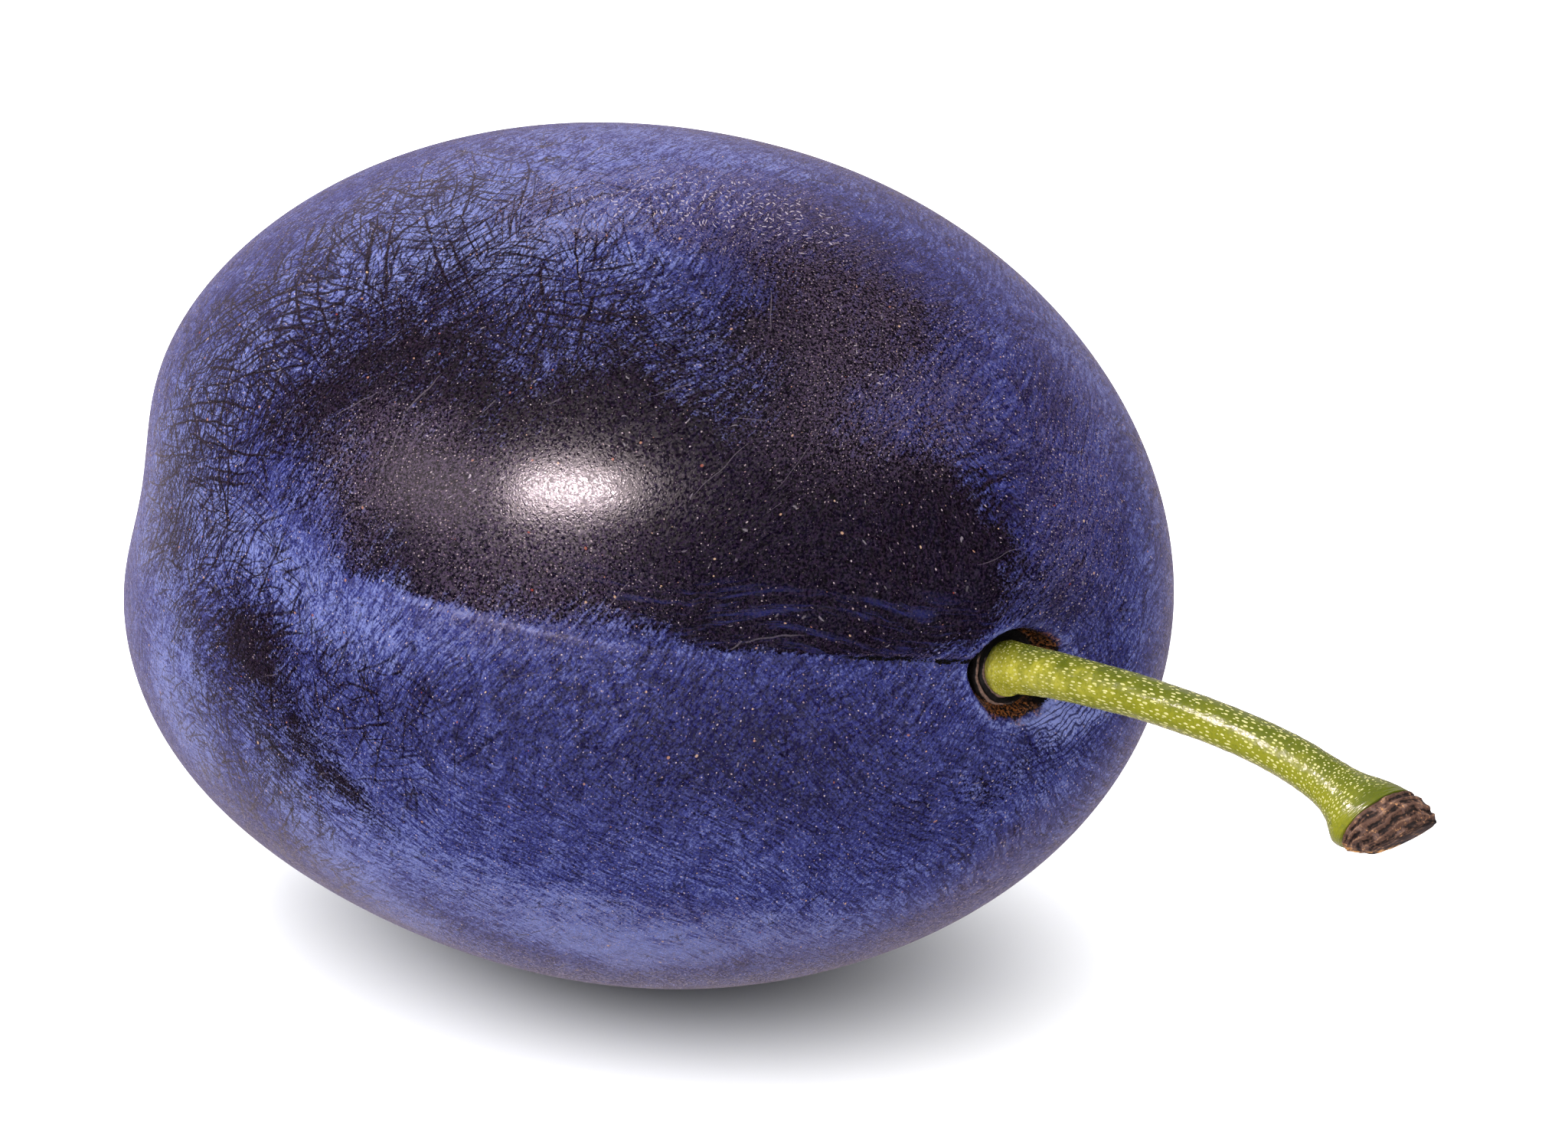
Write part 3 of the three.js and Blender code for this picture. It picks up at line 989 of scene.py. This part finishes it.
def skin_material(colours):
    """Dark skin under powdery bloom that is scratched, rubbed and dusty, with glints painted
    round the highlight and painted shadow in the pit and its crack.
    """
    material, net, shader = new_material("bloomed_skin", colours.thin_bloom)
    place = millimetres(net)
    flat = skin_flat_place(net, place)
    wear = net.attribute("wear")
    dust_and_glints = net.attribute("dust_and_glints")
    low = net.attribute("low")
    mottle = net.noise(place, 0.9, 3.0, 0.66)
    fleck = net.cells(flat, 13.0)[1]
    grain = net.nudge(0.25, net.noise(place, 10.5, 1.0, 0.6), 2.6)
    grain = net.math("MULTIPLY_ADD", fleck[0], 0.5, grain, clamp=True)
    brushed = brushing(net, flat, low)

    bare = net.nudge(wear, mottle, 1.1)
    bare = net.nudge(bare, brushed, 0.9, middle=1.0)
    bare = net.nudge(bare, grain, -0.65)
    kept = net.math("SUBTRACT", 1.0, net.span(bare, 0.46, 1.2, 0.0, 0.97, smooth=False))
    scored = net.nudge(net.attribute("scratched"), mottle, 0.9)
    kept = scratch_away(net, flat, scored, kept)
    bared = combing(net, flat, low)
    share = net.math("MULTIPLY", bared, net.span(scored, 0.0, 0.7, 0.08, 0.8, smooth=False))
    kept = net.math("SUBTRACT", kept, net.math("MULTIPLY", kept, share))

    powder = net.nudge(net.attribute("bloom"), mottle, 0.5)
    powder = net.nudge(powder, brushed, -0.5, middle=1.0)
    powder = net.nudge(powder, grain, 0.45)
    powder = net.nudge(powder, bared, -0.45, middle=0.3)
    thin = net.span(powder, 0.0, 0.5, smooth=False)
    colour = net.mix(thin, colours.thin_bloom, colours.even_bloom)
    colour = net.mix(net.span(powder, 0.5, 1.0, smooth=False), colour, colours.full_bloom)
    colour = net.mix(kept, rubbed_colour(net, flat, grain, colours), colour)
    # Pale pinkish haze of the dusty places; round the highlight it is a painted highlight.
    dust_haze_and_glints = net.math("MULTIPLY", net.span(grain, 0.2, 0.9), net.math("MINIMUM", dust_and_glints, 0.55))
    colour = net.mix(dust_haze_and_glints, colour, colours.dust_and_glints)
    colour = add_motes(net, flat, wear, dust_and_glints, colour)
    colour = add_pit_marks(net, place, grain, colours, colour)

    net.feed(shader.inputs["Base Color"], colour)
    rough = net.nudge(net.math("MULTIPLY_ADD", kept, 0.16, 0.22), fleck[1], 0.3)
    net.feed(shader.inputs["Roughness"], rough)
    height = net.noise(place, 7.5, 2.0, 0.75)
    bump = net.node("Bump", {"Height": height, "Strength": 0.25, "Distance": 0.00004})
    net.feed(shader.inputs["Normal"], bump.outputs["Normal"])
    shader.inputs["Specular IOR Level"].default_value = 0.4
    shader.inputs["Sheen Weight"].default_value = 0.06
    shader.inputs["Sheen Roughness"].default_value = 0.25
    shader.inputs["Sheen Tint"].default_value = (0.95, 0.8, 0.95, 1.0)
    return material


def stalk_material(colours):
    """Waxy green with raised cream pores, painted shade darkening its top edge and its underside.
    """
    material, net, shader = new_material("green_stalk", colours.stalk_end)
    place = millimetres(net)
    flat = net.node("UVMap", uv_map="stalk_map").outputs["UV"]
    flat = net.vector("SCALE", flat, scale=STALK_LENGTH)
    along = net.attribute("along")
    upper = net.attribute("upper")
    cloud = net.noise(place, 1.2, 3.0, 0.6)
    grain = net.noise(place, 8.0, 2.0, 0.6)
    age = net.nudge(along, cloud, 0.35)
    colour = net.mix(net.span(age, 0.02, 0.42), colours.stalk_root, colours.stalk_end)
    dark = net.math("MULTIPLY", net.span(grain, 0.45, 0.7), 0.4)
    colour = net.mix(dark, colour, STALK_SHADE)
    # Painted shade: the stalk's top edge and its underside are darkened.
    top_shade = net.nudge(upper, cloud, 0.5)
    colour = net.mix(net.span(top_shade, 0.55, 1.05, 0.0, 0.85), colour, STALK_TOP_SHADE)
    below = net.span(upper, 0.25, 0.5, 0.3, 0.0)
    colour = net.mix(below, colour, STALK_SHADE)
    squeezed = net.node("Mapping", {"Vector": flat, "Scale": (1.0, 0.6, 1.0)}).outputs[0]
    cells, chance = net.cells(squeezed, 7.0, 0.9)
    size = net.math("MULTIPLY_ADD", chance[0], 0.18, 0.12)
    near = net.math("DIVIDE", cells["Distance"], size)
    there = net.span(along, 0.86, 0.93, 1.0, 0.0)
    pore = net.math("MULTIPLY", net.span(near, 0.75, 1.15, 1.0, 0.0), there)
    colour = net.mix(net.math("MULTIPLY", pore, 0.58), colour, colours.lenticel)
    net.feed(shader.inputs["Base Color"], colour)
    net.feed(shader.inputs["Roughness"], net.math("MULTIPLY_ADD", grain, 0.2, 0.13))
    shader.inputs["Specular IOR Level"].default_value = 0.6
    height = net.math("MULTIPLY_ADD", pore, 0.8, grain)
    bump = net.node("Bump", {"Height": height, "Strength": 0.4, "Distance": 0.00003})
    net.feed(shader.inputs["Normal"], bump.outputs["Normal"])
    return material


def bark_material(colours):
    """Brown ridged bark with tan crests and a torn orange edge."""
    material, net, shader = new_material("heel_bark", colours.bark)
    place = millimetres(net)
    crest = net.attribute("crest")
    grain = net.noise(place, 7.0, 4.0, 0.65)
    fleck = net.noise(place, 2.4, 3.0, 0.6)
    high = net.nudge(net.nudge(crest, grain, 1.6), fleck, 1.8)
    colour = net.mix(net.span(high, 0.0, 0.5), BARK_GROOVE, colours.bark)
    colour = net.mix(net.span(high, 0.6, 1.2), colour, BARK_CREST)
    colour = net.mix(net.span(fleck, 0.55, 0.68, 0.0, 0.5), colour, BARK_FLECK)
    crumb = net.math("MULTIPLY", net.span(grain, 0.58, 0.66), net.span(fleck, 0.45, 0.6))
    colour = net.mix(crumb, colour, BARK_CRUMB)
    wood = net.mix(grain, *TORN_WOOD)
    torn = net.nudge(net.attribute("torn"), fleck, 2.0)
    colour = net.mix(net.span(torn, 0.35, 0.8), colour, wood)
    net.feed(shader.inputs["Base Color"], colour)
    net.feed(shader.inputs["Roughness"], net.span(grain, 0.3, 0.7, 0.5, 0.85))
    shader.inputs["Specular IOR Level"].default_value = 0.2
    bump = net.node("Bump", {"Height": grain, "Strength": 0.6, "Distance": 0.00008})
    net.feed(shader.inputs["Normal"], bump.outputs["Normal"])
    return material


def ring_material():
    """Dark corky ring with pinkish brown crests, lit by a painted highlight towards the lower
    left and left dark by painted shade round the top.
    """
    material, net, shader = new_material("ring_cork", CORK_TINT)
    place = millimetres(net)
    crest = net.attribute("crest")
    grain = net.noise(place, 9.0, 3.0, 0.65)
    high = net.nudge(crest, grain, 1.2)
    colour = net.mix(net.span(high, 0.55, 1.25), *CORK_SHADES_AND_LIT_CRESTS)
    net.feed(shader.inputs["Base Color"], colour)
    shader.inputs["Roughness"].default_value = 0.65
    bump = net.node("Bump", {"Height": grain, "Strength": 0.5, "Distance": 0.00006})
    net.feed(shader.inputs["Normal"], bump.outputs["Normal"])
    return material


# ---------------------------------------------------------------- pieces


def globe_angles(globe):
    """Polar angle and turn of each point of a globe, crowded at one pole and along the suture."""
    share = np.arccos(np.clip(globe[:, 2], -1.0, 1.0)) / math.pi
    polar = math.pi * (RING_CROWDING * share + (1.0 - RING_CROWDING) * share**2)
    round_share = np.arctan2(globe[:, 1], globe[:, 0]) / math.pi
    crowd = MERIDIAN_CROWDING * hill(round_share, 0.0, MERIDIAN_CROWD_REACH)
    return polar, math.pi * round_share * (1.0 - crowd)


def paint_bloom(mesh, places, polar, across, pit):
    """Keeps how worn, bloomed, dusty, scratched and smeared the skin is; the dusty patches round
    the highlight stand in for its glints, a painted highlight.
    """
    warped = places + drift(places, 0.16, 3) * 1.6 + drift(places, 0.5, 5) * 0.7
    lip = hill(pit, 1.15, 0.12)
    edge = hill(pit, 1.09, 0.05) * fade(ripple(places, 0.9, 19), -0.3, 0.3)
    rub = patches(warped, RUBBED_ABOVE) * fade(across, -0.15, 0.35)
    rub += patches(warped, RUBBED) + 0.16 * ripple(places, 0.11, 7)
    seam = hill(across, -0.12, 0.14) * fade(polar, 0.4, 0.55) * (1.0 - fade(polar, 1.1, 1.5))
    seam *= fade(ripple(places, 0.8, 15), 0.0, 0.5)
    bloom = patches(warped, BLOOMED) + 0.1 * ripple(places, 0.14, 9) + 0.3 * seam
    crumbs = hill(across, 0.12, 0.16) * (1.0 - fade(polar, 0.28, 0.42))
    drop = 15.0 + 2.5 * ripple(places, 0.15, 17) - places[:, 2]
    band = fade(across, 0.0, 0.3) * (1.0 - fade(across, 2.2, 3.8))
    paint(mesh, "wear", OVERALL_RUB + rub - 0.5 * lip)
    paint(mesh, "bloom", OVERALL_BLOOM + bloom + 0.25 * lip + 0.5 * edge)
    paint(mesh, "dust_and_glints", OVERALL_DUST + patches(warped, DUSTY_AND_GLINTING) + 0.85 * crumbs)
    paint(mesh, "scratched", OVERALL_SCRATCHES + patches(warped, SCRATCHED))
    paint(mesh, "low", fade(drop, -3.0, 3.0))
    paint(mesh, "smeared", band * (1.0 - fade(polar, 0.7, 1.1)))


def paint_pit(mesh, places, polar, across, pit, bearing):
    """Keeps the painted shadow inside the pit and along the crack, and how russet and folded the
    skin is round the stalk.
    """
    # The crack and the pit's inside get painted shadow, near black.
    wave = 0.1 * ripple(places, 1.7, 13)
    crack = hill(across, wave, 0.13 - 0.06 * fade(polar, 0.2, 0.44), power=4)
    crack *= (1.0 - fade(polar, 0.36, 0.44)) * fade(pit, 0.9, 1.0)
    crack *= 1.0 - 0.5 * hill(polar, 0.22, 0.025)
    inside = 1.5 * (1.0 - fade(pit, 0.9, 1.01))
    fringe = pit + 0.16 * ripple(places, 2.2, 11)
    below = fade(np.cos(bearing + 1.73), 0.55, 0.8)
    beyond = fade(np.cos(bearing - 0.7), 0.86, 0.97)
    russet = below * fade(fringe, 0.5, 0.7) * (1.0 - fade(fringe, 0.93, 1.05))
    russet += 0.6 * beyond * fade(fringe, 0.55, 0.7) * (1.0 - fade(fringe, 0.93, 1.02))
    fold = fade(np.cos(bearing + 0.75), 0.55, 0.85)
    fold = np.maximum(fold, 0.7 * fade(np.cos(bearing - 0.5), 0.8, 0.95)) * fade(pit, 1.0, 1.2)
    paint(mesh, "pit", np.minimum(pit, 4.0))
    # hollow holds the painted shadow of the pit's inside and the crack.
    paint(mesh, "hollow", np.maximum(inside, 0.9 * crack))
    paint(mesh, "russet", russet)
    paint(mesh, "fold", fold * (1.0 - fade(pit, 2.0, 2.8)))


class PLUM_OT_fruit(bpy.types.Operator):
    """Model the fruit with its suture, cavity and bloomed skin"""

    bl_idname = "plum.fruit"
    bl_label = "Fruit"

    def execute(self, context):
        given = context.scene.plum_fruit
        sizes = {
            name: getattr(given, name) / MM
            for name in ("stem_end", "tip_end", "suture_side", "back_side", "cheek_side")
        }
        bm = bmesh.new()
        bmesh.ops.create_uvsphere(bm, u_segments=MERIDIANS, v_segments=RINGS, radius=1.0)
        polar, turn = globe_angles(bmesh_places(bm))
        points = skin_points(polar, turn, sizes)
        across = turn * sizes["suture_side"] * np.sin(polar)
        across -= CREASE_RISE * (1.0 - fade(polar, 0.3, 0.9))
        root = skin_points(np.zeros(1), np.zeros(1), sizes)[0]
        pit, bearing = around_pit(points - root, polar)
        wall = 0.88 - 0.3 * fade(np.cos(bearing + 0.98), -0.5, 0.7)
        points[:, 0] -= PIT_DEPTH * (1.0 - fade(pit, wall, 1.03))
        points[:, 0] += PIT_LIP * hill(pit, 1.16, 0.12)
        places = laid_down(points)
        places[:, 2] = np.maximum(places[:, 2], 0.0)
        piece = finish_piece(context, "fruit_skin", bm, places, "fruit")
        paint_bloom(piece.data, places, polar, across, pit)
        paint_pit(piece.data, places, polar, across, pit, bearing)
        map_skin(piece.data, places)
        piece.data.materials.append(skin_material(context.scene.plum_colours))
        return {"FINISHED"}


def catmull(first, second, third, fourth, share):
    """A smooth curve from second to third."""
    a = 2.0 * second
    b = third - first
    c = 2.0 * first - 5.0 * second + 4.0 * third - fourth
    d = fourth - first + 3.0 * (second - third)
    return 0.5 * (a + b * share + c * share**2 + d * share**3)


def section(stations, share):
    """Middle, radius and pitch at each share of the way along the stations."""
    rows = [(*middle, radius, math.radians(pitch)) for middle, radius, pitch in stations]
    table = np.array(rows)
    first = 2.0 * table[0] - table[1]
    last = 2.0 * table[-1] - table[-2]
    table = np.vstack([first, table, last])
    spot = np.clip(share, 0.0, 1.0) * (len(stations) - 1)
    index = np.minimum(spot.astype(int), len(stations) - 2)
    part = (spot - index)[:, None]
    return catmull(table[index], table[index + 1], table[index + 2], table[index + 3], part)


def tube(segments, rings):
    """An upright closed tube of radius 1 from height 0 to 1."""
    bm = bmesh.new()
    bmesh.ops.create_cone(
        bm, cap_ends=True, cap_tris=False, segments=segments, radius1=1.0, radius2=1.0, depth=1.0
    )
    bmesh.ops.translate(bm, verts=bm.verts, vec=(0.0, 0.0, 0.5))
    upright = [e for e in bm.edges if abs(e.verts[0].co.z - e.verts[1].co.z) > 0.5]
    bmesh.ops.subdivide_edges(bm, edges=upright, cuts=rings, use_grid_fill=True)
    return bm


def wrap_on_stations(globe, stations, swell):
    """Bends the upright tube's points along the stations, swell millimetres proud of them."""
    angle = np.arctan2(globe[:, 1], globe[:, 0])
    cut = section(stations, globe[:, 2])
    radius = cut[:, 3] + swell
    up = np.stack([-np.sin(cut[:, 4]), np.zeros(len(cut)), np.cos(cut[:, 4])], axis=1)
    side = np.array([0.0, 1.0, 0.0])
    out = np.cos(angle)[:, None] * side + np.sin(angle)[:, None] * up
    return cut[:, :3] + radius[:, None] * out


def map_tube(mesh, angle, along):
    """Unrolls the stalk onto a flat map, 1 unit to its length, its seam on the far side."""
    turn = (angle % (2.0 * math.pi)) - math.pi
    layer = mesh.uv_layers.new(name="stalk_map")
    corners = np.empty(len(mesh.loops), dtype=np.int32)
    mesh.loops.foreach_get("vertex_index", corners)
    starts = np.array([p.loop_start for p in mesh.polygons])
    counts = np.array([p.loop_total for p in mesh.polygons])
    turn = turn[corners]
    span = np.maximum.reduceat(turn, starts) - np.minimum.reduceat(turn, starts)
    torn = np.repeat((span > math.pi) & (counts < 5), counts)
    turn = np.where(torn & (turn < 0), turn + 2.0 * math.pi, turn)
    u = 0.2 + turn * STALK_GIRTH / (2.0 * math.pi * STALK_LENGTH)
    layer.data.foreach_set("uv", np.stack([u, along[corners]], axis=1).astype(np.float32).ravel())


class PLUM_OT_stalk(bpy.types.Operator):
    """Model the green stalk with its raised pores"""

    bl_idname = "plum.stalk"
    bl_label = "Stalk"

    def execute(self, context):
        bm = tube(128, 400)
        globe = bmesh_places(bm)
        angle = np.arctan2(globe[:, 1], globe[:, 0])
        swell = 0.03 * ripple(globe * np.array([1.0, 1.0, STALK_LENGTH * 0.4]), 1.1, 2)
        swell += 0.012 * ripple(globe * np.array([1.0, 1.0, STALK_LENGTH]), 4.0, 4)
        places = wrap_on_stations(globe, STALK_STATIONS, swell)
        piece = finish_piece(context, "stalk_green", bm, places, "stalk")
        mesh = piece.data
        map_tube(mesh, angle, globe[:, 2])
        paint(mesh, "along", globe[:, 2])
        # upper: how far each point faces up, for the stalk's painted shade.
        paint(mesh, "upper", 0.5 + 0.5 * np.sin(angle))
        mesh.materials.append(stalk_material(context.scene.plum_colours))
        piece.visible_glossy = False
        bpy.data.collections[GLEAMING].objects.link(piece)
        return {"FINISHED"}


class PLUM_OT_heel(bpy.types.Operator):
    """Model the ridged scrap of bark on the stalk's end"""

    bl_idname = "plum.heel"
    bl_label = "Heel"

    def execute(self, context):
        bm = tube(120, 90)
        globe = bmesh_places(bm)
        angle = np.arctan2(globe[:, 1], globe[:, 0])
        around = np.stack([np.cos(angle), np.sin(angle), globe[:, 2] * 1.2], axis=1)
        bend = ripple(around, 1.1, 4)
        ridge = np.sin((globe[:, 2] * 3.8 + 0.6 * bend) * 2.0 * math.pi)
        crest = (0.5 + 0.5 * ridge) ** 1.3 * (0.75 + 0.5 * ripple(around, 2.2, 12))
        swell = 0.1 * crest + 0.06 * ripple(around, 3.0, 6) - 0.06
        places = wrap_on_stations(globe, HEEL_STATIONS, swell)
        piece = finish_piece(context, "heel_bark", bm, places, "stalk_heel")
        lines = 0.5 + 0.5 * np.sin((globe[:, 2] * 11.0 + 1.6 * bend) * 2.0 * math.pi)
        paint(piece.data, "crest", 0.72 * crest + 0.28 * lines)
        torn = fade(-np.sin(angle), 0.3, 0.75) * (1.0 - 0.5 * fade(globe[:, 2], -0.3, 0.5))
        paint(piece.data, "torn", torn)
        piece.data.materials.append(bark_material(context.scene.plum_colours))
        return {"FINISHED"}


class PLUM_OT_ring(bpy.types.Operator):
    """Model the corky ring that the stalk stands in"""

    bl_idname = "plum.ring"
    bl_label = "Ring"

    def execute(self, context):
        bm = bmesh.new()
        corners = [bm.verts.new((radius, 0.0, height)) for radius, height in RING_PROFILE]
        edges = [bm.edges.new(pair) for pair in zip(corners, corners[1:] + corners[:1])]
        bmesh.ops.subdivide_edges(bm, edges=edges, cuts=2)
        bmesh.ops.spin(
            bm,
            geom=bm.verts[:] + bm.edges[:],
            axis=(0.0, 0.0, 1.0),
            cent=(0.0, 0.0, 0.0),
            angle=2.0 * math.pi,
            steps=160,
            use_merge=True,
        )
        globe = bmesh_places(bm)
        lumps = drift(globe, 1.6, 4) * 0.05 + drift(globe, 6.0, 2) * 0.02
        bearing = np.arctan2(globe[:, 0], globe[:, 1])
        # Crest lightness is painted light: high towards the lower left, low round the top as
        # painted shade.
        crest = 0.15 + 0.85 * fade(np.cos(bearing - 2.6), -0.2, 0.9)
        crest *= fade(globe[:, 2], 0.05, 0.1)
        tilt = Matrix.Rotation(math.pi / 2.0 - RING_PITCH, 3, "Y")
        places = (globe + lumps) @ np.array(tilt).T + np.array(RING_MIDDLE)
        piece = finish_piece(context, "ring_cork", bm, places, "stalk_collar")
        paint(piece.data, "crest", crest)
        piece.data.materials.append(ring_material())
        return {"FINISHED"}


# ---------------------------------------------------------------- stage


def aim(thing, target):
    """Turns a camera or light to face the target."""
    thing.rotation_euler = (target - thing.location).to_track_quat("-Z", "Y").to_euler()


def soft_light(context, name, direction, distance, size, power, target):
    """A white rectangular light that faces the target."""
    light = bpy.data.lights.new(name, "AREA")
    light.shape = "RECTANGLE"
    light.size, light.size_y = size
    light.energy = power
    holder = bpy.data.objects.new(name, light)
    holder.visible_camera = False
    context.scene.collection.objects.link(holder)
    holder.location = target + Vector(direction).normalized() * distance
    aim(holder, target)
    return holder


def add_camera(context, given, middle, back, right):
    """Adds the camera, back from the fruit."""
    data = bpy.data.cameras.new("camera")
    data.lens = given.lens
    data.sensor_width = SENSOR_WIDTH
    data.clip_start, data.clip_end = 0.01, 20.0
    camera = bpy.data.objects.new("camera", data)
    context.scene.collection.objects.link(camera)
    camera.location = middle + back * given.camera_distance
    aim(camera, middle + right * VIEW_ASIDE - back.cross(right) * VIEW_BELOW)
    context.scene.camera = camera


def add_floor(context):
    """Adds the matt white floor."""
    bm = bmesh.new()
    bmesh.ops.create_grid(bm, x_segments=1, y_segments=1, size=FLOOR_SIZE)
    mesh = bpy.data.meshes.new("floor")
    bm.to_mesh(mesh)
    bm.free()
    floor = bpy.data.objects.new("floor", mesh)
    context.scene.collection.objects.link(floor)
    material, _, shader = new_material("floor_white", FLOOR_WHITE)
    shader.inputs["Base Color"].default_value = (*FLOOR_WHITE, 1.0)
    shader.inputs["Roughness"].default_value = 0.9
    shader.inputs["Specular IOR Level"].default_value = 0.1
    mesh.materials.append(material)
    floor.visible_glossy = False


def add_room(context, brightness, back, right):
    """Adds a white room that is dim in reflections, but for a rim opposite the camera."""
    world = bpy.data.worlds.new("white_room")
    world.use_nodes = True
    world.node_tree.nodes.clear()
    net = Net(world.node_tree)
    glossy = net.node("LightPath").outputs["Is Glossy Ray"]
    toward = net.node("TexCoord").outputs["Generated"]
    height = net.node("SeparateXYZ", {"Vector": toward}).outputs["Z"]
    beyond = net.vector("DOT_PRODUCT", toward, tuple(-back))
    aside = net.vector("DOT_PRODUCT", toward, tuple(right))
    rim = net.span(beyond, 0.3, 1.0, 0.006, 0.44)
    rim = net.math("MULTIPLY", rim, net.span(height, -0.6, 0.1, 0.52, 1.0))
    rim = net.math("MULTIPLY", rim, net.span(aside, -1.0, 0.6, 0.85, 1.1))
    seen = net.math("MULTIPLY_ADD", glossy, net.math("SUBTRACT", rim, 1.0), 1.0)
    overhead = net.math("MULTIPLY_ADD", net.math("ABSOLUTE", height), 1.1, 0.28)
    overhead = net.math("MULTIPLY", overhead, net.math("MULTIPLY_ADD", aside, -0.4, 1.0))
    strength = net.math("MULTIPLY", seen, net.math("MULTIPLY", overhead, brightness))
    tint = net.mix(glossy, (1.0, 1.0, 1.0), REFLECTION_TINT)
    room = net.node("Background", {"Color": tint, "Strength": strength})
    output = net.node("OutputWorld")
    net.feed(output.inputs["Surface"], room.outputs["Background"])
    context.scene.world = world


def add_lights(context, given, middle, halfway):
    """Adds three lights that only show as shine, and a broad fill that only shades."""
    power = given.key_power
    key = soft_light(context, "key", KEY_FROM, 0.45, (0.165, 0.065), power, middle)
    glow = soft_light(context, "glow", GLOW_FROM, 0.45, (0.2, 0.12), power * 0.07, middle)
    gleam = soft_light(context, "gleam", GLEAM_FROM, 0.3, (0.055, 0.045), power * 0.2, halfway)
    for light in (key, glow, gleam):
        light.data.color = LIGHT_TINT
        light.visible_diffuse = False
    gleam.light_linking.receiver_collection = bpy.data.collections.new(GLEAMING)
    fill = soft_light(context, "fill", FILL_FROM, 0.6, (0.4, 0.3), given.fill_power, middle)
    fill.visible_glossy = False


class PLUM_OT_stage(bpy.types.Operator):
    """Set up the pale floor, the soft lights and the camera"""

    bl_idname = "plum.stage"
    bl_label = "Stage"

    def execute(self, context):
        given = context.scene.plum_stage
        azimuth, elevation = given.camera_azimuth, given.camera_elevation
        level = math.cos(elevation)
        back = (math.sin(azimuth) * level, -math.cos(azimuth) * level, math.sin(elevation))
        back = Vector(back)
        right = Vector((math.cos(azimuth), math.sin(azimuth), 0.0))
        middle = Vector(FRUIT_MIDDLE) * MM
        halfway = Vector(STALK_STATIONS[len(STALK_STATIONS) // 2][0]) * MM
        add_camera(context, given, middle, back, right)
        add_floor(context)
        add_room(context, given.sky_light, back, right)
        add_lights(context, given, middle, halfway)
        context.scene.view_settings.view_transform = "Standard"
        return {"FINISHED"}


class PLUM_PT_panel(bpy.types.Panel):
    """Lists the plum's pieces and their settings"""

    bl_label = "Blue plum"
    bl_idname = "PLUM_PT_panel"
    bl_space_type = "VIEW_3D"
    bl_region_type = "UI"
    bl_category = "Plum"

    def draw(self, context):
        for kind in OPERATORS:
            self.layout.operator(kind.bl_idname)
        for group in ("plum_fruit", "plum_colours", "plum_stage"):
            settings = getattr(context.scene, group)
            box = self.layout.box()
            for name in settings.bl_rna.properties.keys():
                if name not in ("rna_type", "name"):
                    box.prop(settings, name)


SETTINGS = (FruitSizes, PlumColours, StageSettings)
OPERATORS = (PLUM_OT_stage, PLUM_OT_fruit, PLUM_OT_ring, PLUM_OT_stalk, PLUM_OT_heel)


def register():
    """Registers the settings, operators and panel."""
    for kind in (*SETTINGS, *OPERATORS, PLUM_PT_panel):
        bpy.utils.register_class(kind)
    bpy.types.Scene.plum_fruit = bpy.props.PointerProperty(type=FruitSizes)
    bpy.types.Scene.plum_colours = bpy.props.PointerProperty(type=PlumColours)
    bpy.types.Scene.plum_stage = bpy.props.PointerProperty(type=StageSettings)


def unregister():
    """Removes what register added."""
    for name in ("plum_fruit", "plum_colours", "plum_stage"):
        delattr(bpy.types.Scene, name)
    for kind in reversed((*SETTINGS, *OPERATORS, PLUM_PT_panel)):
        bpy.utils.unregister_class(kind)


def main():
    """Makes the stage and every piece."""
    register()
    bpy.ops.plum.stage()
    bpy.ops.plum.fruit()
    bpy.ops.plum.ring()
    bpy.ops.plum.stalk()
    bpy.ops.plum.heel()


if __name__ == "__main__":
    main()
